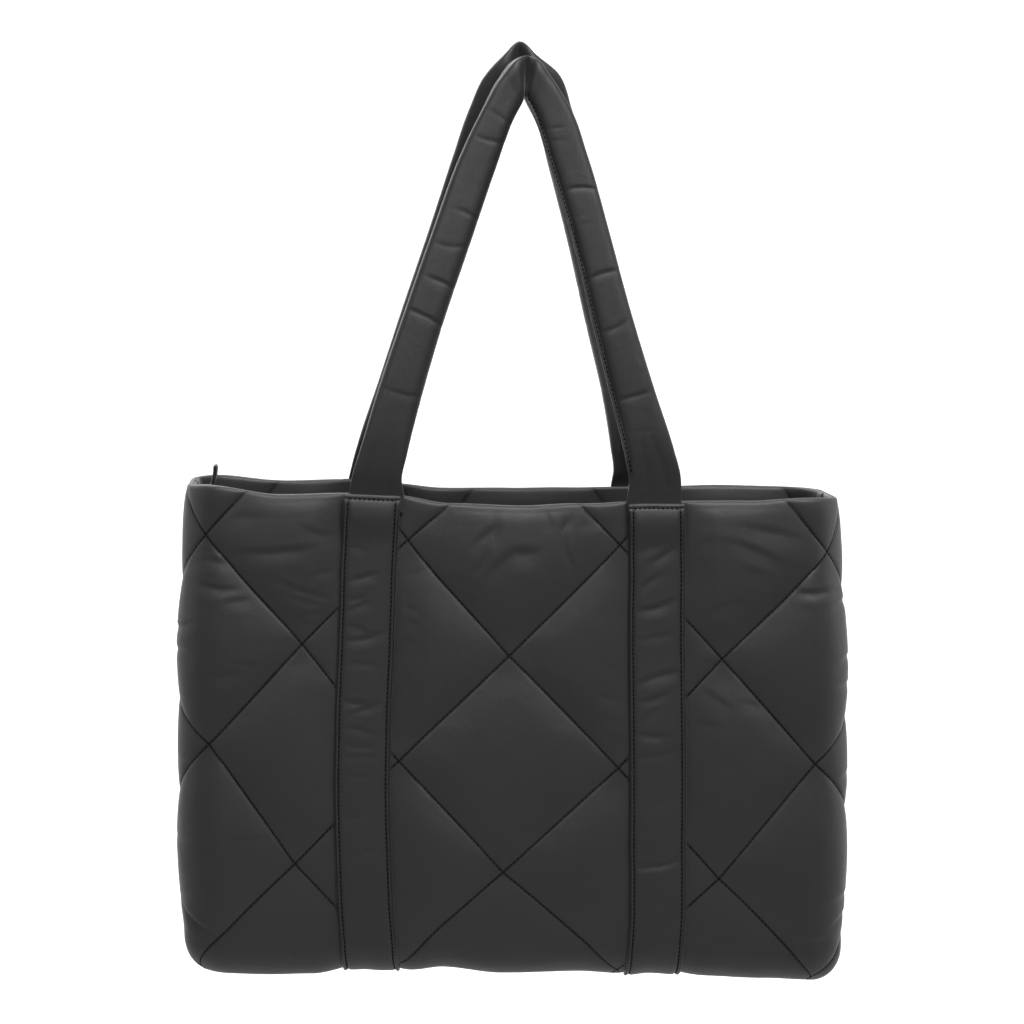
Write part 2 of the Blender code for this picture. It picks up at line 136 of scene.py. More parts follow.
# Bands and handles.
BAND_WIDTH = 0.038
BAND_MARGIN = 0.0006
BAND_START = 0.0045
BAND_TOP = {"left": 0.0002, "right": 0.0014}
BAND_CENTRES = {"left": -0.0945, "right": 0.0925}
STEP_BELOW_FOOT = 0.0200
STEP_LENGTH = 0.0200
FOOT_THICKNESS = 0.0030
FOOT_DEPTH = 0.0118
FOOT_WIDTH = 0.0356
GAP = 0.0003
PEAK_Y = 0.0118
LEAN_POWER = 1.06
FOOT_SQUARE = 0.3
TUBE_SQUARE = 0.58
OUTER_POWER = 1.4
HANDLE_SIDES = 25
HANDLE_STEPS = 60
HANDLE_PITCH = 0.00125
STITCH_INSET = 0.0031
HANDLE_INSET = 0.0021
FLANGE_WIDTH = 0.0010
FLANGE_HALF = 0.0008
FLANGE_PLACES = (
    0.0, 0.0002, 0.0005, 0.0009, 0.0013, 0.0017, 0.0021, 0.0025, 0.0030, 0.0036, 0.0043, 0.0050,
)
FLANGE_ROUND = 0.0008
FLANGE_RISE = 0.024
FLANGE_TAPER = (1.4, 0.5)
GROOVE_SHARE = 0.12
GROOVE_HALF = 0.0006
CREASE_POWER = 1.2
CREASE_SCALE = 0.24
CREASE_ABOVE = 0.42
CREASE_BELOW = 0.9
CREASE_BEND = 0.0022
CREASE_FADE = 0.60
CREASE_MOST = 0.75
EDGE_TUCK = 0.0035
PINCH_SHARE = 0.70
PINCH_HALF = 0.0026
PEAK_TURN = 0.012
FLANGE_LEAN = 0.85
FLANGE_LEAN_FADE = 0.010
PLEATS = ((0.30, 0.14), (0.72, -0.12))
PLEAT_LENGTH = 0.045
PLEAT_HALF = 0.07
PLEAT_SHARE = 0.16
PLEAT_FADE = 0.004
TUBE_START = 0.060
TAB_WIDTH = 0.016
TAB_STEPS = 60
TAB_SIDES = 48
TAB_ROUND = 0.0014
TAB_LEAST = 0.02
TAB_NARROW = 0.1
TAB_POWERS = (0.4, 0.6)
TAB_RIDGE = (0.3, 0.78, 0.06)  # depth of the groove, its place across and its half width
TAB_SMOOTHING = 7

BASE_CELLS = 48
SEAM_GAP = 0.0006
BAND_STEP = 0.0015
BAND_FOLD_SCALE = 1.6
BAND_FOLD_EDGE = 0.001
BAND_FOLD_FADE = 0.006
BAND_SHARP = 50

# Stitches: thread of about 0.5 mm, drawn thicker, 0.7 mm on the quilting and 1.1 mm elsewhere, so that
# it shows.
STITCH_SIDES = 5
STITCH_RINGS = ((-0.50, 0.45), (-0.34, 1.0), (0.34, 1.0), (0.50, 0.45))  # place along, size
STITCH_POLE = 1.12
STITCH_ROLL = (0.31, 0.77, 0.56)
QUILT_STITCH = (0.0026, 0.00035)  # length, radius
STRAP_STITCH = (0.0019, 0.00055)
THREAD_LIFT = 0.0001
LINE_SAMPLE = 0.0008
LINE_START = 0.005
LINE_STOP = 0.005
HANDLE_STITCH_START = 0.030
ALL_SHOWN = 0.99

# The tables below are in tenths of a millimetre.
TENTHS = 10000


def tenths(*rows, plain=()):
    """Rows of a table in metres, apart from the plain columns, which are counts, shares or degrees."""
    return tuple(tuple(x if k in plain else x / TENTHS for k, x in enumerate(row)) for row in rows)


RIM_WAVES = tenths(  # x, rise
    (-2150, 50), (-2000, 64), (-1550, 14), (-1100, 32), (-800, 26), (-450, -20), (0, -28), (400, -6),
    (900, 22), (1500, 34), (1950, 62), (2150, 56),
)
BACK_RIM_WAVES = tenths(  # x, rise
    (-2150, 50), (-2000, 56), (-1550, 25), (-1100, 42), (-800, 24), (-450, -2), (0, 7), (400, 18),
    (900, 33), (1500, 57), (1950, 55), (2150, 56),
)
BASE_WAVES = tenths(  # x, rise
    (-2150, -49), (-1670, -54), (-1350, -44), (-1000, 11), (-860, 4), (-700, -21), (-480, 9), (-100, -25),
    (420, -12), (680, -30), (900, 6), (1270, -32), (1660, -47), (2150, -73),
)

# Where the front's stitched lines really cross: steps from the first crossing across and up, and shifts.
QUILT_SHIFTS = tenths(  # across, up, du, dv
    (-2, 4, 11, -22), (0, 4, -10, 0), (2, 4, 24, 0), (4, 4, 58, -51), (-1, 3, -4, 44), (1, 3, -27, -11),
    (3, 3, 6, -7), (-2, 2, 70, 100), (0, 2, -18, 9), (2, 2, 0, -16), (4, 2, -69, 29), (-1, 1, -56, 41),
    (1, 1, -67, 0), (3, 1, -10, -26), (-2, 0, -140, 60), (0, 0, -87, 70), (2, 0, 17, 70), (4, 0, 0, 60),
    plain=(0, 1),
)
# The back's lines, seen above the front rim, lie to the right of the front's.
BACK_SHIFT = (0.0200, -0.0064)
BACK_QUILT_SHIFTS = tuple((a, b, *BACK_SHIFT) for a in range(-6, 8) for b in range(-2, 6) if (a + b) % 2 == 0)
SHIFT_MIDDLE = 6
SHIFT_COUNT = 16
SIDE_HOLD = 0.030
BACK_SIDE_HOLD = 0.065
BASE_HOLD = 0.008
RIM_HOLD = 0.020

# How far the bands stray from straight.
LEFT_BAND_SHIFTS = tenths(  # v, shift
    (0, -22), (280, -30), (500, -34), (1000, -29), (1270, -27), (1730, -18), (2260, -11), (2500, -14),
    (2820, -23), (3250, -29),
)
RIGHT_BAND_SHIFTS = tenths(  # v, shift
    (0, 4), (280, 6), (500, 13), (740, 9), (1000, 2), (2260, -3), (2500, 0), (2820, 10), (3250, 13),
)

# Dents, folds and drag lines of the front: place and direction, half length, half width, depth.
FRONT_FOLDS = tenths(  # u, v, angle, half_length, half_width, depth
    # upper left panel, drawn towards the side and the band
    (-1590, 2890, 6, 220, 27, 12), (-2120, 2860, -3, 120, 20, 7), (-1990, 2810, -7, 130, 20, 10),
    (-2000, 2650, -9, 140, 22, 10), (-1850, 2570, 10, 80, 22, 6), (-1840, 3080, 12, 110, 27, 4),
    (-1320, 3000, -15, 120, 27, 5), (-1240, 2770, 6, 90, 20, 6), (-1360, 2630, -15, 190, 25, 8),
    (-1340, 2560, -12, 150, 23, 6), (-1290, 2500, 6, 130, 27, 8), (-1300, 2430, 5, 90, 23, 5),
    (-1760, 2160, -12, 100, 23, 4), (-1920, 2080, 8, 160, 27, 6), (-2250, 2370, 10, 120, 23, 11),
    (-2270, 2230, 8, 120, 22, 9),
    # beside the left band
    (-670, 2770, 16, 70, 20, 6), (-690, 2550, -11, 50, 19, 4), (-680, 2460, -21, 50, 19, 4),
    (-690, 2330, -8, 50, 19, 3),
    # below the middle of the rim
    (-210, 3050, 41, 110, 39, 7), (-160, 3100, 88, 110, 19, 6), (-230, 2860, 60, 100, 28, 7),
    (-110, 2860, 47, 160, 39, 9), (60, 2930, 5, 80, 43, 11), (210, 3160, -81, 70, 23, 4),
    (320, 3120, 60, 60, 17, 7), (330, 2930, -73, 120, 20, 7), (420, 3040, 84, 130, 27, 4),
    # beside the right band
    (620, 2170, -24, 80, 23, 4), (600, 1980, -9, 100, 23, 4), (620, 1830, -7, 80, 23, 4),
    (640, 1720, -7, 60, 20, 4),
    # upper right panel
    (1600, 2940, -22, 170, 31, 8), (1720, 3050, -12, 170, 31, 7), (1580, 2810, -16, 100, 28, 4),
    (1240, 2990, 14, 70, 23, 3), (2030, 2690, 7, 150, 19, 14), (2240, 2620, 8, 120, 23, 11),
    (2230, 2250, 8, 120, 22, 10), (2240, 2070, 6, 120, 20, 9), (1360, 2590, 18, 150, 28, 4),
    (1290, 1990, -35, 130, 31, 5), (1290, 2210, -11, 80, 23, 4), (1580, 1940, -18, 100, 28, 4),
    # lower left panel and corner
    (-2090, 420, -24, 130, 20, 19), (-2220, 600, 10, 120, 23, 6), (-1800, 1000, 4, 230, 31, 4),
    (-2220, 980, 5, 120, 22, 7), (-1490, 300, -81, 110, 19, 6), (-500, 270, 88, 60, 16, 10),
    (-430, 240, -84, 40, 20, 5), (-2060, 1640, -81, 160, 27, 4), (-2220, 1500, 8, 120, 22, 6),
    # lower right panel and corner
    (2000, 370, 4, 110, 25, 21), (2140, 260, 48, 120, 16, 9), (2230, 640, 12, 120, 22, 9),
    (2240, 520, 14, 120, 20, 9), (2240, 1460, 10, 120, 22, 7), (1250, 1810, -7, 100, 25, 3),
    plain=(2,),
)
BACK_FOLDS = tenths(  # u, v, angle, half_length, half_width, depth
    (-1700, 2840, -8, 200, 27, 10), (-2040, 2620, 6, 140, 22, 11), (-1360, 2500, 14, 140, 25, 7),
    (-2160, 2120, -6, 140, 23, 10), (-520, 2960, 52, 120, 31, 8), (-100, 3040, -64, 120, 27, 8),
    (220, 2880, 38, 130, 36, 9), (480, 3060, 82, 100, 23, 6), (1400, 2720, 12, 180, 27, 9),
    (1760, 2960, -14, 150, 28, 7), (2060, 2400, 6, 140, 20, 13), (2220, 1800, -4, 140, 23, 9),
    (2140, 480, 18, 130, 22, 18), (-2080, 400, -20, 130, 22, 18), (-300, 280, 86, 70, 19, 8),
    (1400, 260, -82, 90, 19, 7),
    plain=(2,),
)

# Soft folds of the bands: place across and along, direction, half length, half width, depth.
LEFT_BAND_FOLDS = tenths(  # across, v, angle, half_length, half_width, depth
    (-30, 2740, 15, 90, 18, 6), (-110, 3050, 12, 40, 16, 3), (-80, 2920, -9, 50, 16, 3),
    (-70, 2600, 11, 60, 18, 4), (-60, 2550, 22, 80, 18, 4), (-50, 2410, -19, 80, 18, 3),
    (-10, 2340, 12, 120, 19, 6), (-20, 2180, -2, 100, 18, 3), (-60, 1920, -7, 80, 19, 5),
    (20, 1880, 20, 100, 18, 5), (-30, 1750, -12, 110, 18, 3), (-10, 1630, -2, 120, 14, 3),
    (-10, 1570, 4, 120, 14, 2), (-20, 1440, 2, 120, 14, 2), (-20, 1160, 3, 120, 14, 2),
    (-80, 910, -2, 70, 14, 3), (50, 940, 19, 60, 13, 3),
    plain=(2,),
)
RIGHT_BAND_FOLDS = tenths(  # across, v, angle, half_length, half_width, depth
    (-50, 2960, 24, 90, 19, 4), (40, 2910, 34, 90, 19, 6), (-50, 2750, 35, 80, 19, 4),
    (0, 2580, 18, 120, 22, 7), (0, 2390, 10, 110, 18, 3), (10, 2130, 18, 120, 24, 8),
    (-10, 1980, 22, 110, 19, 5), (-50, 1880, 38, 90, 19, 3), (-40, 1730, -3, 90, 19, 6),
    (0, 1600, 11, 130, 16, 2), (0, 1280, 25, 110, 16, 2), (0, 865, 11, 180, 16, 8),
    plain=(2,),
)
BAND_PROFILE = tenths(  # distance_from_edge, thickness
    (0, 3), (3, 12), (9, 18), (16, 20), (24, 17), (31, 11), (38, 16), (50, 22), (75, 26), (120, 28),
    (190, 29),
)
BAND_END_PROFILE = tenths(  # distance_from_end, thickness
    (0, 3), (4, 9), (12, 13), (24, 13), (31, 9), (40, 14), (80, 22), (200, 29),
)

FRONT_LEFT_LEG = tenths(  # inner_x, inner_z, outer_x, outer_z, depth
    (-750, 3250, -1072, 3280, 90), (-718, 3400, -1020, 3450, 140), (-627, 3750, -900, 3840, 190),
    (-477, 4250, -727, 4340, 210), (-302, 4750, -548, 4840, 210), (-124, 5260, -352, 5360, 210),
    (-5, 5580, -195, 5680, 220), (40, 5670, -95, 5860, 220), (62, 5720, 22, 5990, 210),
)
FRONT_RIGHT_LEG = tenths(  # inner_x, inner_z, outer_x, outer_z, depth
    (730, 3240, 1068, 3270, 90), (705, 3380, 1028, 3430, 140), (620, 3740, 905, 3820, 190),
    (498, 4250, 752, 4340, 210), (385, 4750, 622, 4840, 210), (233, 5270, 482, 5350, 210),
    (135, 5590, 362, 5680, 220), (105, 5670, 262, 5850, 220), (86, 5720, 152, 5990, 210),
)
BACK_LEFT_LEG = tenths(  # inner_x, inner_z, outer_x, outer_z, depth
    (-745, 3240, -1068, 3270, 90), (-720, 3390, -1018, 3450, 140), (-620, 3750, -888, 3840, 190),
    (-475, 4250, -725, 4340, 210), (-320, 4750, -555, 4840, 210), (-165, 5260, -382, 5370, 210),
    (-65, 5560, -275, 5680, 220), (-15, 5700, -176, 5890, 220), (30, 5790, -35, 6040, 220),
)
BACK_RIGHT_LEG = tenths(  # inner_x, inner_z, outer_x, outer_z, depth
    (732, 3230, 1068, 3260, 90), (715, 3380, 1018, 3430, 140), (655, 3740, 912, 3830, 190),
    (530, 4250, 778, 4340, 210), (412, 4750, 643, 4840, 210), (272, 5270, 500, 5350, 210),
    (190, 5560, 405, 5680, 220), (122, 5700, 312, 5910, 220), (78, 5790, 150, 6040, 220),
)
FRONT_PEAK = (0.0073, 0.5745, 0.0090, 0.6010, 0.016)
BACK_PEAK = (0.0052, 0.5820, 0.0058, 0.6120, 0.018)

# Creases across the handles: height, rise from the inner to the outer edge, half width, share of the
# tube's depth, and how far across from the inner edge they reach.
LEFT_CREASES = tenths(  # height, slant, half_width, share, reach
    (5600, 120, 16, 0.12, 0.7), (5440, 60, 18, 0.2, 0.75), (4980, 80, 18, 0.2, 0.6),
    (4750, 30, 18, 0.16, 0.8), (4530, 100, 18, 0.26, 0.7), (4300, 120, 20, 0.26, 1),
    (3800, 70, 20, 0.18, 0.8),
    plain=(3, 4),
)
RIGHT_CREASES = tenths(  # height, slant, half_width, share, reach
    (5520, 20, 16, 0.1, 0.6), (5440, 30, 18, 0.1, 0.5), (5130, 20, 18, 0.28, 1), (4970, 120, 16, 0.1, 0.5),
    (4900, 60, 16, 0.1, 0.45), (4570, 80, 20, 0.3, 0.95), (4220, 120, 20, 0.22, 0.8),
    (4080, 80, 16, 0.08, 0.5), (3780, 80, 20, 0.28, 0.8), (3560, 30, 18, 0.08, 0.6),
    plain=(3, 4),
)

TAB_ROWS = tenths(  # x, rise, thickness
    (-2080, -210, 26), (-2078, -110, 28), (-2040, -30, 28), (-1990, 40, 30), (-1975, 110, 30),
    (-1973, 148, 30), (-1973, 160, 30),
)

# Camera of the photograph.
CAMERA_PLACE = (-0.1273, -1.8963, -0.1035)
CAMERA_AIM = (0.0625, 0.9940, -0.0901)
SENSOR_WIDTH = 36.0
CAMERA_LENS = 100.14

# Studio.
FLOOR = -1.25
STAGE_FRONT = -2.6
STAGE_BACK = 2.6
STAGE_RADIUS = 1.2
STAGE_TOP = 2.6
STAGE_SIDE = 3.0
STAGE_GLOW = 0.55
FLOOR_SHADES = ("b0b0b0", "b6b6b6")
BACKDROP_SHADES = ("c4c4c4", "cacaca")
AIR_GLOW = 0.07
WHITE = (1.0, 1.0, 1.0, 1.0)

# Painted shade of the stitched lines and the straps' edges, darkened into the cloth's colour: metres from the
# line at which it is full and at which it ends, and its share.
LINE_DARK = 0.0006
LINE_FADE = 0.0014
LINE_SHADE = 0.1
EDGE_DARK = 0.0004
ROW_FAINTER = 0.0007

LIGHTS = (  # name, place, aim, width, depth, spread, power
    ("overhead_softbox", (0.90, -2.30, 3.00), (0.0, 0.0, -0.40), 3.2, 1.4, 60, 34.0),
    ("left_strip_box", (-1.5, 0.20, 0.0), (0.0, 0.0, -0.25), 0.5, 1.4, 120, 1.6),
    ("right_strip_box", (1.5, 0.20, 0.0), (0.0, 0.0, -0.25), 0.5, 1.4, 120, 2.8),
    ("backdrop_wash", (0.0, 0.9, 1.6), (0.0, 2.6, -0.7), 2.6, 0.8, 140, 50.0),
    ("front_fill", (-1.4, -2.3, 2.4), (0.0, 0.0, -0.1), 1.2, 1.2, 140, 14.0),
    ("rear_softbox", (-0.9, 2.2, 1.9), (0.0, 0.0, -0.35), 1.6, 0.9, 60, 6.0),
)


def linear(code):
    """sRGB hex code to linear red, green and blue, by the standard's two-part curve."""
    parts = np.array([int(code[k : k + 2], 16) for k in (0, 2, 4)]) / 255
    return tuple(np.where(parts <= 0.04045, parts / 12.92, ((parts + 0.055) / 1.055) ** 2.4))


def ease(t):
    """Smooth step from 0 to 1, level at both ends: three t squared less two t cubed."""
    t = np.clip(t, 0.0, 1.0)
    return t * t * (3.0 - 2.0 * t)


def wave(rows, x):
    """Edge waves at x: the rises of the table, eased from row to row."""
    places, rises = np.array(rows).T
    x = np.clip(x, places[0], places[-1])
    i = np.clip(np.searchsorted(places, x) - 1, 0, len(rows) - 2)
    t = (x - places[i]) / (places[i + 1] - places[i])
    return rises[i] + (rises[i + 1] - rises[i]) * ease(t)


def between(sizes, t):
    """A size that goes from base to rim through the middle of the height, on one parabola."""
    base, middle, rim = sizes
    return base * (1 - t) * (1 - 2 * t) + middle * 4 * t * (1 - t) + rim * t * (2 * t - 1)


def section(u, half_width, half_depth):
    """Front half of a rounded rectangle at arc length u: straight front, quarter circle, straight end."""
    flat = half_width - CORNER_RADIUS
    arc = CORNER_RADIUS * math.pi / 2
    side = np.sign(u)
    a = np.abs(u)
    turn = np.clip((a - flat) / CORNER_RADIUS, 0.0, math.pi / 2)
    along = np.clip(a - flat - arc, 0.0, half_depth - CORNER_RADIUS)
    x = np.minimum(a, flat) + CORNER_RADIUS * np.sin(turn)
    y = half_depth - CORNER_RADIUS * (1 - np.cos(turn)) - along
    return side * x, -y, side * np.sin(turn), -np.cos(turn)


def half_perimeter(half_width, half_depth):
    """Arc length of the rounded rectangle from the middle of its front to the side seam."""
    return half_width + half_depth + CORNER_RADIUS * (math.pi / 2 - 2)


END_U = half_perimeter(HALF_WIDTH[1], HALF_DEPTH[1])


def wall(u, v, out=0.0, back=False):
    """One half's wall in the bag's own frame, drawn as the front, out beyond the middle of its padding.

    The rounded rectangle is carried up the height, with a quarter circle that turns under the body below,
    waves along the base and the rim, and a slope along the width. Low down it leans in, on a square.
    """
    t = v / WALL_LENGTH
    half_width, half_depth = between(HALF_WIDTH, t), between(HALF_DEPTH, t)
    bow = BAND_BOW * np.exp(-(((u - BOW_CENTRE) / BOW_REACH) ** 2)) * np.sin(math.pi * t)
    stretch = half_perimeter(half_width, half_depth) / END_U
    x, y, nx, ny = section(u * stretch + bow, half_width, half_depth)
    y = y - ny * LOW_LEAN * np.clip(1 - v / LOW_REACH, 0.0, 1.0) ** 2
    curl = np.minimum(v / CURL_RADIUS, math.pi / 2)
    inset = CURL_RADIUS * (1 - np.sin(curl))
    z = BASE_LIFT + CURL_RADIUS * (1 - np.cos(curl)) + np.maximum(v - CURL_RADIUS * math.pi / 2, 0.0)
    level = np.sin(curl)
    x = x + nx * (out * level - inset)
    y = y + ny * (out * level - inset)
    z = z - out * np.cos(curl)
    low = ease(1 - v / WAVE_REACH) * wave(BASE_WAVES, x)
    high = ease(1 - (WALL_LENGTH - v) / WAVE_REACH) * wave(BACK_RIM_WAVES if back else RIM_WAVES, x)
    return np.stack(np.broadcast_arrays(x, y, z + low + high - SLOPE * x), axis=-1)


def put(points, back=False):
    """Bag's own frame to the hanging frame, turned to the back half if asked."""
    points = np.array(points, dtype=float)
    if back:
        points[..., 1] *= -1
    return points + (BODY_CENTRE_X, 0.0, -HANG_HEIGHT)


def pattern(u, v):
    """Steps in diamonds from the first crossing of the stitched lines, across and up."""
    return (u - CROSSING_U) / DIAMOND_WIDTH, (v - CROSSING_V) / DIAMOND_HEIGHT


def diamonds(u, v):
    """Puff between the lines: the product of two sine waves, one across each slant, to a small power."""
    i, j = pattern(u, v)
    lift = np.abs(np.sin(math.pi * (i - j)) * np.sin(math.pi * (i + j)))
    return lift**PUFF_POWER


def band_place(side, v):
    """Middle of a band at height v."""
    return BAND_CENTRES[side] + wave(LEFT_BAND_SHIFTS if side == "left" else RIGHT_BAND_SHIFTS, v)


def pressed(distance):
    """Share of the puff that is left so far from a seam or a band, on a steep power curve from 0 to 1."""
    return np.clip(distance / PRESS_WIDTH, 0.0, 1.0) ** PRESS_POWER


def seam(distance):
    """Half thickness of the bare seam so far from its edge: a quarter circle, then level."""
    turn = np.clip(distance / SEAM_TURN, 0.0, 1.0)
    return SEAM_HALF * np.sqrt(turn * (2 - turn))


def beside_bands(u, v):
    """0 under a band and 1 a little way off it, on the steep power curve."""
    clear = np.ones(np.broadcast(u, v).shape)
    for side in BAND_CENTRES:
        clear = np.minimum(clear, pressed(np.abs(u - band_place(side, v)) - BAND_WIDTH / 2 - BAND_MARGIN))
    return clear


def shifted(u, v, shifts, side_hold):
    """Where a point of the regular pattern lies on the wall.

    The shifts of the four crossings round it are mixed by its place between them, so that the lines stay
    straight from crossing to crossing, and they fade out at the seams and the rim.
    """
    table = np.zeros((SHIFT_COUNT, SHIFT_COUNT, 2))
    for across, up, du, dv in shifts:
        table[(across - up) // 2 + SHIFT_MIDDLE, (across + up) // 2 + SHIFT_MIDDLE] = du, dv
    i, j = pattern(u, v)
    a, b = i - j + SHIFT_MIDDLE, i + j + SHIFT_MIDDLE
    k, m = np.floor(a).astype(int), np.floor(b).astype(int)
    s, t = (a - k)[..., None], (b - m)[..., None]
    low = table[k, m] * (1 - s) + table[k + 1, m] * s
    high = table[k, m + 1] * (1 - s) + table[k + 1, m + 1] * s
    move = low * (1 - t) + high * t
    side = ease((END_U - np.abs(u)) / side_hold)
    ends = ease(v / BASE_HOLD) * ease((WALL_LENGTH - v) / RIM_HOLD)
    return u + move[..., 0] * side, v + move[..., 1] * ends


def half_thickness(u, v, real_u, real_v, puff):
    """Half the wall's thickness: seams, puff between the lines, and a rounded fold at the rim.

    u and v place the point in the pattern, real_u and real_v on the wall. The rim's fold is mixed in as the
    product over the root of the sum of powers, a smooth least of the two.
    """
    from_side = END_U - np.abs(real_u)
    flat = LOW_PUFF + (1 - LOW_PUFF) * ease(real_v / LOW_PUFF_REACH)
    full = puff * flat * diamonds(u, v) * beside_bands(real_u, real_v) * pressed(from_side) * pressed(real_v)
    half = seam(np.minimum(from_side, real_v)) + full
    below = np.clip(WALL_LENGTH - real_v, 0.0, None)
    fold = np.clip(1 - below / RIM_RADIUS, 0.0, 1.0)
    most = RIM_RADIUS * np.sqrt(1 - fold**2) + RIM_SPREAD * np.maximum(below - RIM_RADIUS, 0.0)
    total = (half**LEAST_POWER + most**LEAST_POWER) ** (1 / LEAST_POWER)
    return half * most / np.maximum(total, TINY)


def fold_depth(u, v, rows):
    """How far the folds push the wall in: each drops steeply from above its line, then comes back gently.

    Along it, the depth fades as the exponential of minus a power. A low ridge follows on either side.
    """
    depth = np.zeros(np.broadcast(u, v).shape)
    for number, (du, dv, angle, half_length, half_width, deep) in enumerate(rows):
        c, s = math.cos(math.radians(angle)), math.sin(math.radians(angle))
        along = ((u - du) * c + (v - dv) * s) / half_length
        bend = FOLD_BEND * math.sin(number * BEND_TURN) * half_length * along**2
        across = ((v - dv) * c - (u - du) * s - bend) / half_width
        across = np.where(across > 0, across / FOLD_ABOVE, -across / FOLD_BELOW)
        ridge = FOLD_RIDGE * np.exp(-(((across - RIDGE_PLACE) / RIDGE_HALF) ** 2))
        furrow = np.exp(-(across**FOLD_POWER)) - ridge
        depth += deep * np.exp(-(np.abs(along) ** FOLD_END_POWER)) * furrow
    return depth


def placed(name, data):
    """A new object of the data, linked to the scene."""
    thing = bpy.data.objects.new(name, data)
    bpy.context.scene.collection.objects.link(thing)
    return thing


def new_mesh(name, points, faces, material, uv=None, smooth_angle=60):
    """A mesh object at the origin from arrays of points and of faces with equal corner counts."""
    mesh = bpy.data.meshes.new(name)
    faces = np.asarray(faces, dtype=np.int32)
    count, corners = faces.shape
    mesh.vertices.add(len(points))
    mesh.vertices.foreach_set("co", np.asarray(points, dtype=np.float32).ravel())
    mesh.loops.add(count * corners)
    mesh.loops.foreach_set("vertex_index", faces.ravel())
    mesh.polygons.add(count)
    mesh.polygons.foreach_set("loop_start", np.arange(count, dtype=np.int32) * corners)
    mesh.update(calc_edges=True)
    if uv is not None:
        layer = mesh.uv_layers.new(name="cloth")
        layer.data.foreach_set("uv", np.asarray(uv, dtype=np.float32)[faces.ravel()].ravel())
    mesh.validate()
    piece = placed(name, mesh)
    mesh.materials.append(material)
    face_out(mesh)
    mesh.shade_smooth()
    mesh.set_sharp_from_angle(angle=math.radians(smooth_angle))
    return piece


def face_out(mesh):
    """Turns the faces of a closed mesh outwards."""
    work = bmesh.new()
    work.from_mesh(mesh)
    bmesh.ops.recalc_face_normals(work, faces=work.faces[:])
    work.to_mesh(mesh)
    work.free()


def fit(piece, slot, *nodes):
    """Puts a piece on the one body and hides the solids that it stands for; slot is not used."""
    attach(piece, "root")
    if nodes:
        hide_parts(*nodes)
    return piece


def add(tree, kind, inputs=None, **settings):
    """One shader node with its settings, its values and its links."""
    new = tree.nodes.new(kind)
    for key, value in settings.items():
        setattr(new, key, value)
    for key, value in (inputs or {}).items():
        if isinstance(value, bpy.types.NodeSocket):
            tree.links.new(value, new.inputs[key])
        else:
            new.inputs[key].default_value = value
    return new


def quilt_columns():
    """Places along the width: the quilting's own steps, closer ones at the side seams."""
    step = DIAMOND_WIDTH / CELLS
    first = math.ceil((-END_U - CROSSING_U) / step)
    last = math.floor((END_U - CROSSING_U) / step)
    places = CROSSING_U + step * np.arange(first, last + 1)
    places = places[np.abs(places) < END_U - step / 3]
    return np.concatenate([[-END_U], places, [END_U]])


def quilt_rows():
    """Places up the wall: the quilting's own steps, and closer ones in the turn of the rim."""
    step = DIAMOND_HEIGHT / CELLS
    top = WALL_LENGTH - RIM_ROWS[-1] - step / 3
    places = CROSSING_V + step * np.arange(-3, 200)
    places = places[(places > step / 3) & (places < top)]
    rim = WALL_LENGTH - np.array(RIM_ROWS[::-1])
    return np.concatenate([[0.0], places, rim])


def rising(columns, rows):
    """Whether each cell's middle lies nearer to a line that rises than to one that falls."""
    i, j = pattern((columns[:-1] + columns[1:])[:, None] / 2, (rows[:-1] + rows[1:])[None, :] / 2)
    return np.abs(np.sin(math.pi * (i - j))) < np.abs(np.sin(math.pi * (i + j)))


def quilt_faces(columns, rows, ids):
    """Triangles of a grid of vertex numbers, each cell cut along the slant that it lies nearest to."""
    cut = rising(columns, rows)[..., None]
    a, b, c, d = ids[:-1, :-1], ids[1:, :-1], ids[1:, 1:], ids[:-1, 1:]
    one = np.where(cut, np.stack([a, b, c], -1), np.stack([a, b, d], -1))
    two = np.where(cut, np.stack([a, c, d], -1), np.stack([b, c, d], -1))
    return np.concatenate([one.reshape(-1, 3), two.reshape(-1, 3)])


def coarser(ids, faces_of, columns, rows):
    """Triangles of every third column, with a fan along the first and the last row to the finer edge."""
    kept = np.unique(np.append(np.arange(0, len(columns), LINING_STEP), len(columns) - 1))
    faces = [faces_of(columns[kept], rows[1:-1], ids[kept, 1:-1])]
    fine = np.arange(len(columns) - 1)
    near = kept[np.clip(np.searchsorted((kept[:-1] + kept[1:]) / 2, fine + 0.5), 0, len(kept) - 1)]
    turn = np.searchsorted(fine + 0.5, (kept[:-1] + kept[1:]) / 2)
    for edge, inside, flip in ((0, 1, 1), (-1, -2, -1)):
        fan = np.stack([ids[fine, edge], ids[fine + 1, edge], ids[near, inside]], -1)
        join = np.stack([ids[kept[:-1], inside], ids[turn, edge], ids[kept[1:], inside]], -1)
        faces += [fan[:, ::flip], join[:, ::flip]]
    return np.concatenate(faces)


def second_grid(ids):
    """Vertex numbers of a second grid of points that has its border in common with the first."""
    other = ids + ids.size
    for edge in (0, -1):
        other[edge], other[:, edge] = ids[edge], ids[:, edge]
    return other


def two_skins(name, skins, faces, material, uv, back=False, smooth_angle=60):
    """Mesh of two grids of points with the same places on the cloth, less the points that no face uses."""
    used, numbers = np.unique(faces, return_inverse=True)
    points = put(np.stack(skins).reshape(-1, 3), back)[used]
    uv = np.tile(uv.reshape(-1, 2), (2, 1))[used]
    return new_mesh(name, points, numbers.reshape(faces.shape), material, uv, smooth_angle)


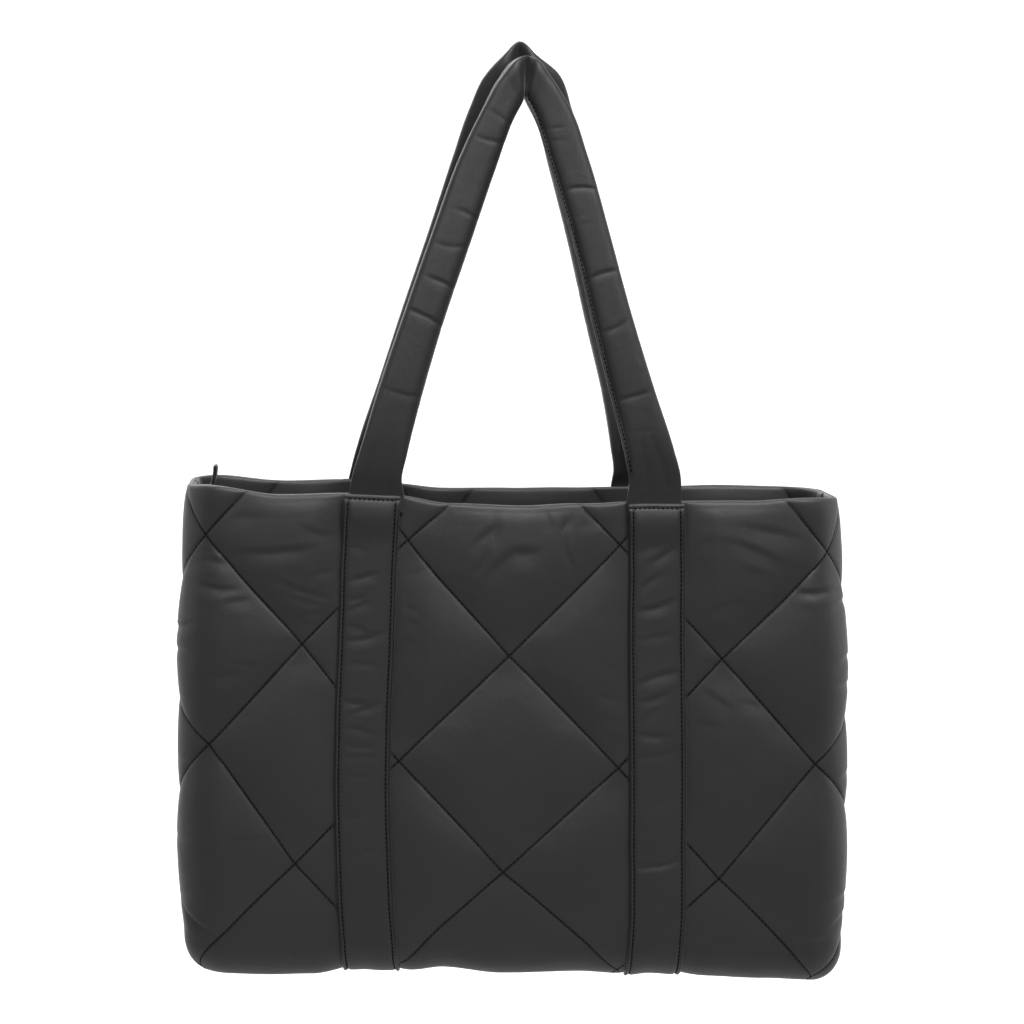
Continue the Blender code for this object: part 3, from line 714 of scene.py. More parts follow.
def make_half(name, material, sizes, back):
    """One quilted half of the body: outer cloth and lining, which meet at the rim, the sides and the base."""
    columns, rows = quilt_columns(), quilt_rows()
    u, v = np.meshgrid(columns, rows, indexing="ij")
    folds, shifts, side_hold = half_tables(back)
    real_u, real_v = shifted(u, v, shifts, side_hold)
    dents = fold_depth(real_u, real_v, folds) * beside_bands(real_u, real_v)
    thick = half_thickness(u, v, real_u, real_v, sizes.puff)
    outer = wall(real_u, real_v, thick - dents * np.clip(thick / SEAM_HALF - 1, 0.0, 1.0), back)
    thin = half_thickness(u, v, real_u, real_v, sizes.puff * LINING_SHARE)
    lining = wall(real_u, real_v, -thin - dents * np.clip(thin / SEAM_HALF - 1, 0.0, 1.0), back)
    slack = wall(real_u, real_v, SEAM_HALF + (thick - SEAM_HALF) * PUFF_START, back)
    held = (diamonds(u, v) < ON_LINE) | (beside_bands(real_u, real_v) == 0)
    outer = outer + puffed(columns, rows, slack, held) * PUFF_SHARE
    for skin in (outer, lining):
        skin[..., 1] = np.where(np.abs(u) > END_U - HAIR, 0.0, skin[..., 1])
    ids = np.arange(u.size).reshape(u.shape)
    inside = coarser(second_grid(ids), quilt_faces, columns, rows)[:, ::-1]
    faces = np.concatenate([quilt_faces(columns, rows, ids), inside])
    return two_skins(name, (outer, lining), faces, material, np.stack([u, v], -1), back)


def blown(start, faces, pins):
    """Where a cloth's points lie after a soft pressure has blown it up, with the pinned ones held."""
    mesh = bpy.data.meshes.new("puffing")
    mesh.from_pydata(start.reshape(-1, 3), [], faces)
    cloth = placed("puffing", mesh)
    cloth.vertex_groups.new(name="held").add(np.flatnonzero(pins.ravel()).tolist(), 1.0, "REPLACE")
    blower = cloth.modifiers.new("puffing", "CLOTH")
    for key, value in PUFF_CLOTH.items():
        setattr(blower.settings, key, value)
    blower.settings.effector_weights.gravity = 0.0
    blower.collision_settings.use_collision = False
    blower.point_cache.frame_start, blower.point_cache.frame_end = 1, PUFF_FRAMES
    for frame_number in range(1, PUFF_FRAMES + 1):
        bpy.context.scene.frame_set(frame_number)
    found = cloth.evaluated_get(bpy.context.evaluated_depsgraph_get()).data
    ends = np.empty(pins.size * 3, dtype=np.float32)
    found.vertices.foreach_get("co", ends)
    bpy.data.objects.remove(cloth)
    bpy.data.meshes.remove(mesh)
    bpy.context.scene.frame_set(1)
    return ends.reshape(start.shape)


def puffed(columns, rows, points, held):
    """How far each point moves when the cloth between the stitched lines is blown up by a soft pressure.

    The cloth is every second point of the pattern, held along the lines, the bands and its border, and a
    little larger than its frame, so that it creases. The points between take the mean of their neighbours
    along the cell's sides, or along its cut.
    """
    i, j = pattern(columns[PUFF_SKIP], rows[PUFF_SKIP])
    first = PUFF_SKIP + np.array([round(i * CELLS) % 2, round(j * CELLS) % 2])
    count = (np.array([len(columns) - PUFF_SKIP, len(rows) - len(RIM_ROWS)]) - first) // 2
    block = tuple(slice(a, a + 2 * n - 1) for a, n in zip(first, count))
    sparse = tuple(slice(a, a + 2 * n - 1, 2) for a, n in zip(first, count))
    start, pins = points[sparse], held[sparse].copy()
    pins[[0, -1]], pins[:, [0, -1]] = True, True
    ids = np.arange(pins.size).reshape(pins.shape)
    d = blown(start, quilt_faces(columns[sparse[0]], rows[sparse[1]], ids), pins) - start
    length = np.linalg.norm(d, axis=-1, keepdims=True)
    d = d * np.minimum(1.0, PUFF_MOST / np.maximum(length, TINY))
    for _ in range(PUFF_SMOOTHING):
        d[1:-1] = (d[:-2] + 2 * d[1:-1] + d[2:]) / 4
        d[:, 1:-1] = (d[:, :-2] + 2 * d[:, 1:-1] + d[:, 2:]) / 4
        d[pins] = 0.0
    fine = np.zeros((2 * count[0] - 1, 2 * count[1] - 1, 3))
    fine[::2, ::2] = d
    fine[1::2, ::2] = (d[:-1] + d[1:]) / 2
    fine[::2, 1::2] = (d[:, :-1] + d[:, 1:]) / 2
    cut = rising(columns[sparse[0]], rows[sparse[1]])[..., None]
    fine[1::2, 1::2] = np.where(cut, d[:-1, :-1] + d[1:, 1:], d[1:, :-1] + d[:-1, 1:]) / 2
    moves = np.zeros_like(points)
    moves[block] = fine
    return moves


def half_tables(back):
    """The folds of a half, the shifts of its crossings, and how near a side seam these fade out."""
    return (BACK_FOLDS, BACK_QUILT_SHIFTS, BACK_SIDE_HOLD) if back else (FRONT_FOLDS, QUILT_SHIFTS, SIDE_HOLD)


def make_base(name, material, sizes):
    """Quilted pad between the base seams: each column runs from the front seam to the back seam."""
    columns = quilt_columns()
    stretch = half_perimeter(HALF_WIDTH[0], HALF_DEPTH[0]) / END_U
    _, _, nx, ny = section(columns * stretch, HALF_WIDTH[0], HALF_DEPTH[0])
    edge = wall(columns, np.zeros_like(columns))
    edge[:, 0] -= nx * SEAM_GAP
    edge[:, 1] -= ny * SEAM_GAP
    turning = np.flatnonzero(np.abs(nx) < NEARLY_ONE)
    edge = edge[turning[0] - 1 : turning[-1] + 2]
    across = np.sin(np.linspace(-math.pi / 2, math.pi / 2, BASE_CELLS + 1))
    middle = np.repeat(edge[:, None, :], len(across), axis=1)
    middle[..., 1] *= across
    from_side = (1 - np.abs(across)) * np.abs(edge[:, None, 1])
    from_end = (edge[-1, 0] - np.abs(edge[:, 0]))[:, None]
    inward = np.minimum(from_side, from_end)
    uv = middle[..., :2] + (0.0, CROSSING_V)
    half = seam(inward) + sizes.puff * diamonds(uv[..., 0], uv[..., 1]) * pressed(inward)
    under, over = middle.copy(), middle.copy()
    under[..., 2] -= half
    over[..., 2] += half
    ids = np.arange(half.size).reshape(half.shape)
    faces = np.concatenate([grid_faces(ids), grid_faces(second_grid(ids))[:, ::-1]])
    return two_skins(name, (under, over), faces, material, uv)


def grid_faces(ids):
    """Quads of a grid of vertex numbers."""
    return np.stack([ids[:-1, :-1], ids[1:, :-1], ids[1:, 1:], ids[:-1, 1:]], -1).reshape(-1, 4)


def profile(rows, x):
    """Height of a profile at x, straight from row to row."""
    return np.interp(x, *np.array(rows).T)


def band_under(v):
    """How far out a band's inner side lies: on the wall, with an eased step out over the handle's foot."""
    step = WALL_LENGTH - FOOT_DEPTH - STEP_BELOW_FOOT
    return SEAM_HALF + GAP + (FOOT_THICKNESS + GAP) * ease((v - step) / STEP_LENGTH)


def band_top(across, v, side, folds):
    """How far out a band's outer side lies: its profile from the nearest edge, less its folds."""
    from_side = BAND_WIDTH / 2 - np.abs(across)
    from_top = WALL_LENGTH - BAND_TOP[side] - v
    thick = np.minimum(profile(BAND_PROFILE, from_side), profile(BAND_END_PROFILE, from_top))
    fade = BAND_FOLD_SCALE * ease((from_side + BAND_FOLD_EDGE) / BAND_FOLD_FADE)
    return band_under(v) + thick - fold_depth(across, v, folds) * fade


def make_band(name, side, material, back, folds):
    """Flat strap: a grid across and along the wall for each side, joined at the edges."""
    edge = np.array([row[0] for row in BAND_PROFILE])
    inner = np.arange(edge[-4], BAND_WIDTH / 2, BAND_STEP)[1:]
    half = np.concatenate([edge[:-3], inner]) - BAND_WIDTH / 2
    columns = np.concatenate([half, [0.0], -half[::-1]])
    top = WALL_LENGTH - BAND_TOP[side]
    count = round((top - BAND_START - edge[-5]) / BAND_STEP)
    rows = np.linspace(BAND_START, top - edge[-5], count)
    rows = np.concatenate([rows, top - edge[:-5][::-1]])
    across, v = np.meshgrid(columns, rows, indexing="ij")
    u = band_place(side, v) + across
    under = wall(u, v, band_under(v), back)
    over = wall(u, v, band_top(across, v, side, folds), back)
    ids = np.arange(u.size).reshape(u.shape)
    lower = ids + u.size
    joins = [(ids[0], lower[0]), (lower[-1], ids[-1]), (lower[:, 0], ids[:, 0]), (ids[:, -1], lower[:, -1])]
    sides = [grid_faces(np.stack(pair)) for pair in joins]
    faces = np.concatenate([grid_faces(ids), grid_faces(lower)[:, ::-1], *sides])
    return two_skins(name, (over, under), faces, material, np.stack([across, v], -1), back, BAND_SHARP)


def smooth_rows(rows, steps):
    """Rows on cubic curves through the given ones, set out again at even distances along their middle.

    The curves' slopes come from the neighbouring rows.
    """
    rows = np.array(rows, dtype=float)
    gaps = np.linalg.norm(np.diff(rows[:, :3], axis=0), axis=1)
    gaps = gaps + np.linalg.norm(np.diff(rows[:, 3:6], axis=0), axis=1)
    at = np.concatenate([[0.0], np.cumsum(gaps)])
    slopes = np.gradient(rows, at, axis=0)
    t = np.linspace(0.0, 1.0, steps, endpoint=False)[None, :, None]
    p, q = rows[:-1, None], rows[1:, None]
    m, n = slopes[:-1, None] * gaps[:, None, None], slopes[1:, None] * gaps[:, None, None]
    curve = (2 * t**3 - 3 * t**2 + 1) * p + (t**3 - 2 * t**2 + t) * m
    curve = curve + (3 * t**2 - 2 * t**3) * q + (t**3 - t**2) * n
    curve = np.concatenate([curve.reshape(-1, rows.shape[1]), rows[-1:]])
    travel = travelled((curve[:, :3] + curve[:, 3:6]) / 2)
    even = np.linspace(0.0, travel[-1], round(travel[-1] / HANDLE_PITCH) + 1)
    return np.stack([np.interp(even, travel, column) for column in curve.T], -1)


def travelled(path):
    """Distance along a path to each of its points."""
    return np.concatenate([[0.0], np.cumsum(np.linalg.norm(np.diff(path, axis=0), axis=1))])


def leg_rows(centre, leg, peak_height, back):
    """Rows of one leg: three of its flat foot, then up to the peak, leaning in on a power curve."""
    half = math.copysign(FOOT_WIDTH / 2, centre)
    low, high = WALL_LENGTH - FOOT_DEPTH + GAP, WALL_LENGTH - GAP
    foot = wall(np.full(3, centre), np.linspace(low, high, 3), SEAM_HALF + GAP + FOOT_THICKNESS / 2, back)
    rows = [(x - half, y, z, x + half, y, z, FOOT_THICKNESS, FOOT_SQUARE) for x, y, z in foot]
    foot_y, foot_z = foot[-1][1:3]
    for inner_x, inner_z, outer_x, outer_z, depth in leg:
        height = (inner_z + outer_z) / 2
        y = foot_y + (-PEAK_Y - foot_y) * ((height - foot_z) / (peak_height - foot_z)) ** LEAN_POWER
        square = FOOT_SQUARE + (TUBE_SQUARE - FOOT_SQUARE) * float(ease((height - foot_z) / TUBE_START))
        rows.append((inner_x, y, inner_z, outer_x, y, outer_z, depth, square))
    return rows


def crease_share(height, across, rows):
    """Share of the depth the creases take: each drops steeply from above a slanted line, then eases back."""
    share = np.zeros_like(height)
    for number, (place, slant, half_width, deep, reach) in enumerate(rows):
        bend = CREASE_BEND * math.sin(number * BEND_TURN) * (2 * across - 1) ** 2
        off = (height - place - slant * (across - 0.5) - bend) / half_width
        off = np.where(off > 0, off / CREASE_ABOVE, -off / CREASE_BELOW)
        within = ease((reach - across) / CREASE_FADE + 0.5)
        share += CREASE_SCALE * deep * np.exp(-(off**CREASE_POWER)) * within
    return np.minimum(share, CREASE_MOST)


def tube_half(rows, place, width, rise, lean):
    """Half thickness of one side of a handle, where its middle leans towards that side by lean.

    Across, a narrow flat flange comes first, then a stitched groove, then a rounded section whose edges
    follow x to the n plus y to the n is 1, with n two over the squareness and larger on the outer half.
    Where rise is 0 the rounded section takes the whole width.
    """
    flange = FLANGE_WIDTH * rise
    t = np.clip(2 * (place - flange) / (width - flange) - 1, -1.0, 1.0)
    n = 2 / rows[:, 7:8] * np.where(t > 0, OUTER_POWER, 1.0)
    tube = rows[:, 6:7] / 2 * (1 - np.abs(t) ** n) ** (1 / n)
    strip = FLANGE_HALF * np.sqrt(np.clip(1 - (1 - place / FLANGE_ROUND).clip(0.0, 1.0) ** 2, 0.0, 1.0))
    strip = strip * np.clip(FLANGE_TAPER[0] - place / HANDLE_INSET * FLANGE_TAPER[1], 0.0, 1.0) * rise
    groove = 1 - GROOVE_SHARE * rise * np.exp(-(((place - HANDLE_INSET) / GROOVE_HALF) ** 2))
    return np.maximum(tube * groove, lean + strip) - lean


def handle_section(left_leg, right_leg, peak, creases, back):
    """A padded tube from foot to foot: the middle at each place along and across, and both sides' halves.

    The flange shows on the outer side of one leg, and is rolled to the inner side on the other.
    """
    inner_x, inner_z, outer_x, outer_z, depth = peak
    height = (inner_z + outer_z) / 2
    left = leg_rows(BAND_CENTRES["left"], left_leg, height, back)
    right = leg_rows(BAND_CENTRES["right"], right_leg, height, back)
    top = (inner_x, -PEAK_Y, inner_z, outer_x, -PEAK_Y, outer_z, depth, TUBE_SQUARE)
    rows = smooth_rows(left + [top] + right[::-1], HANDLE_STEPS)
    inner, outer = rows[:, 0:3], rows[:, 3:6]
    along = np.gradient((inner + outer) / 2, axis=0)
    out = np.cross(along, outer - inner)
    out /= np.linalg.norm(out, axis=1)[:, None]
    travel = travelled((inner + outer) / 2)
    width = np.linalg.norm(outer - inner, axis=1)[:, None]
    foot_z = rows[0, 2]
    rise = ease(((inner[:, 2] + outer[:, 2]) / 2 - foot_z - FOOT_DEPTH) / FLANGE_RISE)[:, None]
    edge = np.array(FLANGE_PLACES)[None, :] * np.ones_like(width)
    turn = (1 - np.cos(np.linspace(0.0, math.pi, HANDLE_SIDES))) / 2
    rest = edge[:, -1:] + (width - edge[:, -1:]) * turn[None, 1:]
    place = np.concatenate([edge, rest], axis=1)
    share = place / width
    middle = inner[:, None] + (outer - inner)[:, None] * share[..., None]
    peak_at = travel[np.argmax(inner[:, 2] + outer[:, 2])]
    is_left = (travel < peak_at)[:, None]
    shown = ease((travel - peak_at) / PEAK_TURN + 0.5)[:, None]
    lean = FLANGE_LEAN * rows[:, 6:7] / 2 * rise * shown * (1 - ease(place / FLANGE_LEAN_FADE))
    middle = middle + out[:, None] * lean[..., None]
    halves = [
        tube_half(rows, place, width, rise * on, leaning)
        for on, leaning in ((shown, lean), (1 - shown, 0.0))
    ]
    high = middle[..., 2]
    dents = np.where(is_left, *[crease_share(high, share, table) for table in creases])
    pinch = PINCH_SHARE * np.exp(-(np.abs((travel - peak_at) / PINCH_HALF) ** CREASE_POWER))[:, None]
    above = high - foot_z - FOOT_DEPTH
    for start, slant in PLEATS:
        off = np.abs(share - start - slant * above / PLEAT_LENGTH) / PLEAT_HALF
        fade = ease(above / PLEAT_FADE) * (1 - ease(above / PLEAT_LENGTH))
        dents = dents + PLEAT_SHARE * np.exp(-(off**CREASE_POWER)) * fade
    for half in halves:
        half *= 1 - np.clip(dents + pinch, 0.0, CREASE_MOST)
        half[:, [0, -1]] = 0.0
    tuck = EDGE_TUCK * dents * np.sign(share - 0.5) * np.abs(2 * share - 1) ** 2
    middle = middle - ((outer - inner) / width)[:, None] * tuck[..., None]
    return middle, out, halves, place, travel, shown[:, 0]


def make_handle(name, parts, material, back):
    """Both sides of a handle on one grid of rings, each ring closed at its inner and outer edge."""
    middle, out, halves, place, travel, _ = parts
    front = middle + out[:, None] * halves[0][..., None]
    rear = middle - out[:, None] * halves[1][..., None]
    uv = np.stack(np.broadcast_arrays(place, travel[:, None]), -1)
    rings, uv = (np.concatenate([a, b[:, -2:0:-1]], axis=1) for a, b in ((front, rear), (uv, uv)))
    return tube_mesh(name, rings, place.shape[1] - 1, material, uv, back)


def ring_faces(ids):
    """Quads of a tube of rings of vertex numbers, each ring closed."""
    return grid_faces(np.concatenate([ids, ids[:, :1]], axis=1))


def halved(quads):
    """Two triangles for each quad."""
    return np.concatenate([quads[:, [0, 1, 2]], quads[:, [0, 2, 3]]])


def tube_mesh(name, rings, half, material, uv, back=False):
    """A tube of rings whose end caps run across, from the first corner of a ring to the one named half."""
    ids = np.arange(rings[..., 0].size).reshape(rings.shape[:2])
    quads, corners = [ring_faces(ids)], []
    for ring in ids[[0, -1]]:
        one, other = ring[1:half], ring[:half:-1]
        quads.append(grid_faces(np.stack([one, other])))
        corners += [(ring[0], one[0], other[0]), (ring[half], other[-1], one[-1])]
    faces = np.concatenate([halved(np.concatenate(quads)), corners])
    return new_mesh(name, put(rings.reshape(-1, 3), back), faces, material, uv.reshape(-1, 2))


def make_tab(name, material):
    """Folded tape that stands in the end of the opening: a rounded section carried along an eased path.

    Its section follows cosine and sine to small powers, with a groove inside each long edge.
    """
    rim = BASE_LIFT + CURL_RADIUS + WALL_LENGTH - CURL_RADIUS * math.pi / 2
    places, rises, thicknesses = np.array(TAB_ROWS).T
    rise = rises[0] + (rises[-1] - rises[0]) * np.linspace(0.0, 1.0, TAB_STEPS)
    x = np.interp(rise, rises, places)
    kernel = np.ones(TAB_SMOOTHING) / TAB_SMOOTHING
    x = np.convolve(np.pad(x, TAB_SMOOTHING // 2, mode="edge"), kernel, mode="valid")
    from_end = np.clip(np.minimum(rises[-1] - rise, rise - rises[0]) / TAB_ROUND, 0.0, 1.0)
    round_off = np.sqrt(np.clip(1 - (1 - from_end) ** 2, TAB_LEAST, 1.0))[:, None]
    thick = np.interp(rise, rises, thicknesses)[:, None] * round_off
    wide = TAB_WIDTH / 2 * (1 - TAB_NARROW + TAB_NARROW * round_off)
    turn = np.linspace(0.0, 2 * math.pi, TAB_SIDES, endpoint=False)
    across, off = (np.sign(a) * np.abs(a) ** n for a, n in zip((np.cos(turn), np.sin(turn)), TAB_POWERS))
    groove, groove_place, groove_half = TAB_RIDGE
    ridge = 1 - groove * np.exp(-(((np.abs(across) - groove_place) / groove_half) ** 2))
    rings = np.stack(np.broadcast_arrays(
        x[:, None] + off * ridge * thick / 2,
        across * wide,
        (rim - SLOPE * x + rise)[:, None],
    ), -1)
    uv = np.stack(np.broadcast_arrays(across * TAB_WIDTH / 2, rise[:, None]), -1)
    return tube_mesh(name, rings, TAB_SIDES // 2, material, uv)


def spaced(path, pitch):
    """Points at even distances along a path, and the path's direction at each."""
    travel = travelled(path)
    count = int(travel[-1] / pitch)
    at = (travel[-1] - count * pitch) / 2 + pitch * (np.arange(count) + 0.5)
    ends = [
        np.stack([np.interp(at + off, travel, path[:, k]) for k in range(3)], -1)
        for off in (-pitch / 4, pitch / 4)
    ]
    way = ends[1] - ends[0]
    return (ends[0] + ends[1]) / 2, way / np.linalg.norm(way, axis=1)[:, None]


def make_stitches(name, paths, material, pitch, stitch):
    """Thread stitches: a short rod with rounded ends, repeated at each place with its length along the path.

    The rod's rings follow the cosine and sine of a circle, and a point closes each end.
    """
    length, radius = stitch
    found = [spaced(path, pitch) for path in paths if len(path) > 1]
    place, way = (np.concatenate(part) for part in zip(*found))
    side = np.cross(way, STITCH_ROLL)
    side /= np.linalg.norm(side, axis=1)[:, None]
    other = np.cross(way, side)
    ring_at, ring_size = np.array(STITCH_RINGS).T
    ring_at, ring_size = ring_at * length, ring_size * radius
    turn = np.linspace(0.0, 2 * math.pi, STITCH_SIDES, endpoint=False)
    along = np.append(np.repeat(ring_at, STITCH_SIDES), ring_at[[0, -1]] * STITCH_POLE)
    c, s = (np.append(np.outer(ring_size, part(turn)), [0.0, 0.0]) for part in (np.cos, np.sin))
    points = place[:, None] + way[:, None] * along[:, None] + side[:, None] * c[:, None]
    points = points + other[:, None] * s[:, None]
    rings = len(STITCH_RINGS)
    ids = np.arange(rings * STITCH_SIDES).reshape(rings, STITCH_SIDES)
    ends = [
        np.stack([ids[row], np.roll(ids[row], -1), np.full(STITCH_SIDES, pole)], -1)[:, ::turned]
        for row, pole, turned in ((0, ids.size, 1), (-1, ids.size + 1, -1))
    ]
    one = np.concatenate([halved(ring_faces(ids)), *ends])
    faces = one[None] + (np.arange(len(place)) * len(along))[:, None, None]
    return new_mesh(name, points.reshape(-1, 3), faces.reshape(-1, 3), material)


def broken(path, keep):
    """The stretches of a path where keep is true."""
    edges = np.flatnonzero(np.diff(keep.astype(int))) + 1
    return [part for part, kept in zip(np.split(path, edges), np.split(keep, edges)) if kept[0]]


def quilt_paths(back, sizes):
    """The stitched lines of a half: u over W minus or plus v over H is a whole number on each."""
    v = np.arange(LINE_START, WALL_LENGTH - LINE_STOP, LINE_SAMPLE)
    j = (v - CROSSING_V) / DIAMOND_HEIGHT
    _, shifts, side_hold = half_tables(back)
    paths = []
    for slant in (-1, 1):
        for n in range(-6, 7):
            u = CROSSING_U + DIAMOND_WIDTH * (n + slant * j)
            inside = np.abs(u) < END_U - LINE_STOP
            if inside.sum() < 2:
                continue
            real_u, real_v = shifted(u[inside], v[inside], shifts, side_hold)
            clear = beside_bands(real_u, real_v) > 0
            thick = half_thickness(u[inside], v[inside], real_u, real_v, sizes.puff)
            paths += broken(put(wall(real_u, real_v, thick + THREAD_LIFT, back), back), clear)
    return paths


def band_paths(side, back, folds):
    """A band's stitch rows: one inside each long edge, and one across below its top."""
    end = WALL_LENGTH - BAND_TOP[side] - STITCH_INSET
    reach = BAND_WIDTH / 2 - STITCH_INSET
    v = np.arange(BAND_START + STITCH_INSET, end, LINE_SAMPLE)
    turn = np.arange(-reach, reach, LINE_SAMPLE)
    rows = ((np.full_like(v, -reach), v), (np.full_like(v, reach), v), (turn, np.full_like(turn, end)))
    return [
        put(wall(band_place(side, v) + across, v, band_top(across, v, side, folds) + THREAD_LIFT, back), back)
        for across, v in rows
    ]


def handle_paths(parts, back):
    """The stitch rows beside a handle's flange, on the side that the flange is rolled to."""
    middle, out, halves, place, travel, shown = parts
    column = FLANGE_PLACES.index(HANDLE_INSET)
    inside = (travel > HANDLE_STITCH_START) & (travel < travel[-1] - HANDLE_STITCH_START)
    paths = []
    for way, half, on in ((1, halves[0], shown), (-1, halves[1], 1 - shown)):
        keep = inside & (on > ALL_SHOWN)
        lift = way * (half[keep, column] + THREAD_LIFT)
        paths.append(put(middle[keep, column] + out[keep] * lift[:, None], back))
    return paths


def new_material(name, settings):
    """A material with its node tree and its shader, whose inputs take the settings."""
    material = bpy.data.materials.new(name)
    material.use_nodes = True
    shader = material.node_tree.nodes["Principled BSDF"]
    for key, value in settings.items():
        shader.inputs[key].default_value = value
    return material, material.node_tree, shader


def shaded(colour, share=1.0):
    """A colour made darker or lighter by a share, with full alpha."""
    return (*[c * share for c in colour], 1.0)


def cloth_material(name, colour, quilted=False, strap=False):
    """Calendered polyester taffeta: hot rollers press the weave flat, so it has a soft satin gloss."""
    settings = {"Roughness": 0.5, "Sheen Weight": 0.15, "Sheen Roughness": 0.4}
    material, tree, shader = new_material(name, settings)
    uv = add(tree, "ShaderNodeUVMap", uv_map="cloth").outputs["UV"]
    place = add(tree, "ShaderNodeTexCoord").outputs["Object"]
    cloudy = add(tree, "ShaderNodeTexNoise", {"Vector": place, "Scale": 18.0, "Detail": 3.0})
    shade = add(tree, "ShaderNodeMix", {
        "Factor": cloudy.outputs["Fac"], "A": shaded(colour, 0.88), "B": shaded(colour, 1.12),
    }, data_type="RGBA").outputs["Result"]
    # Taffeta has about 4 threads in a millimetre; they are drawn 2 times as coarse, so that they show.
    weave = [
        add(tree, "ShaderNodeTexWave", {"Vector": uv, "Scale": 640.0},
            bands_direction=way, wave_profile="SIN")
        for way in ("X", "Y")
    ]
    crossed = {0: weave[0].outputs["Fac"], 1: weave[1].outputs["Fac"]}
    threads = add(tree, "ShaderNodeMath", crossed, operation="MULTIPLY")
    # Padded taffeta crumples into shallow creases about 8 mm apart.
    crumple = add(tree, "ShaderNodeTexNoise", {
        "Vector": place, "Scale": 120.0, "Detail": 4.0, "Distortion": 0.6,
    })
    bump = add(tree, "ShaderNodeBump", {
        "Height": crumple.outputs["Fac"], "Strength": 0.35, "Distance": 0.0006,
    })
    bump = add(tree, "ShaderNodeBump", {
        "Height": threads.outputs[0], "Strength": 0.25, "Distance": 0.0002, "Normal": bump.outputs["Normal"],
    })
    if quilted or strap:
        # Painted shade: a stitched line is pulled in, so it lies in its own shade for about 1 mm on each
        # side; a strap's long edges and stitch rows are darkened the same way.
        off = line_distance(tree, uv) if quilted else edge_distance(tree, uv)
        line = add(tree, "ShaderNodeMapRange", {0: off, 1: LINE_DARK, 2: LINE_FADE, 3: LINE_SHADE, 4: 1.0})
        shade = add(tree, "ShaderNodeMix", {
            "Factor": line.outputs[0], "A": shaded(colour, LINE_SHADE), "B": shade,
        }, data_type="RGBA").outputs["Result"]
    tree.links.new(shade, shader.inputs["Base Color"])
    tree.links.new(bump.outputs["Normal"], shader.inputs["Normal"])
    return material


def line_distance(tree, uv):
    """Metres to the nearest stitched line: how far u over W plus or minus v over H is from a whole number."""
    parts = add(tree, "ShaderNodeSeparateXYZ", {0: uv})
    i, j = (
        add(tree, "ShaderNodeMath", {0: parts.outputs[k], 1: 1 / size, 2: -crossing / size},
            operation="MULTIPLY_ADD").outputs[0]
        for k, crossing, size in ((0, CROSSING_U, DIAMOND_WIDTH), (1, CROSSING_V, DIAMOND_HEIGHT))
    )
    found = []
    for way in ("ADD", "SUBTRACT"):
        slant = add(tree, "ShaderNodeMath", {0: i, 1: j}, operation=way).outputs[0]
        off = add(tree, "ShaderNodeMath", {0: slant, 1: 1.0}, operation="PINGPONG").outputs[0]
        whole = add(tree, "ShaderNodeMath", {0: 1.0, 1: off}, operation="SUBTRACT").outputs[0]
        found.append(add(tree, "ShaderNodeMath", {0: off, 1: whole}, operation="MINIMUM").outputs[0])
    least = add(tree, "ShaderNodeMath", {0: found[0], 1: found[1]}, operation="MINIMUM").outputs[0]
    return add(tree, "ShaderNodeMath", {0: least, 1: LINE_SPACING}, operation="MULTIPLY").outputs[0]


def edge_distance(tree, uv):
    """Metres from a strap's long edge, or a little more than those from its stitch row, if that is nearer."""
    parts = add(tree, "ShaderNodeSeparateXYZ", {0: uv})
    across = add(tree, "ShaderNodeMath", {0: parts.outputs[0]}, operation="ABSOLUTE").outputs[0]
    edge = row = add(tree, "ShaderNodeMath", {0: BAND_WIDTH / 2 - EDGE_DARK, 1: across},
                     operation="SUBTRACT").outputs[0]
    for kind, amount in (("SUBTRACT", STITCH_INSET - EDGE_DARK), ("ABSOLUTE", 0.0), ("ADD", ROW_FAINTER)):
        row = add(tree, "ShaderNodeMath", {0: row, 1: amount}, operation=kind).outputs[0]
    return add(tree, "ShaderNodeMath", {0: edge, 1: row}, operation="MINIMUM").outputs[0]


def band_list():
    """Every band: the half that it is on, its side and its folds; the back's are those of the other side."""
    front = (("front", "left", LEFT_BAND_FOLDS), ("front", "right", RIGHT_BAND_FOLDS))
    return front + (("back", "left", RIGHT_BAND_FOLDS), ("back", "right", LEFT_BAND_FOLDS))


def handle_list():
    """Both handles: the side of the body and the arrays of their surface."""
    creases = (LEFT_CREASES, RIGHT_CREASES)
    front = handle_section(FRONT_LEFT_LEG, FRONT_RIGHT_LEG, FRONT_PEAK, creases, False)
    back = handle_section(BACK_LEFT_LEG, BACK_RIGHT_LEG, BACK_PEAK, creases[::-1], True)
    return (("front", front), ("back", back))


def thread_material(name, colour):
    """Spun polyester thread: twisted fuzzy fibres, so it is matte with a faint sheen at its edges."""
    material, tree, shader = new_material(name, {"Roughness": 0.85, "Specular IOR Level": 0.15})
    place = add(tree, "ShaderNodeTexCoord").outputs["Object"]
    # The twist of such a thread repeats every 0.7 mm.
    twist = add(tree, "ShaderNodeTexWave", {"Vector": place, "Scale": 450.0}, bands_direction="DIAGONAL")
    tone = add(tree, "ShaderNodeMix", {
        "Factor": twist.outputs["Fac"], "A": shaded(colour, 0.6), "B": shaded(colour, 1.5),
    }, data_type="RGBA")
    tree.links.new(tone.outputs["Result"], shader.inputs["Base Color"])
    return material


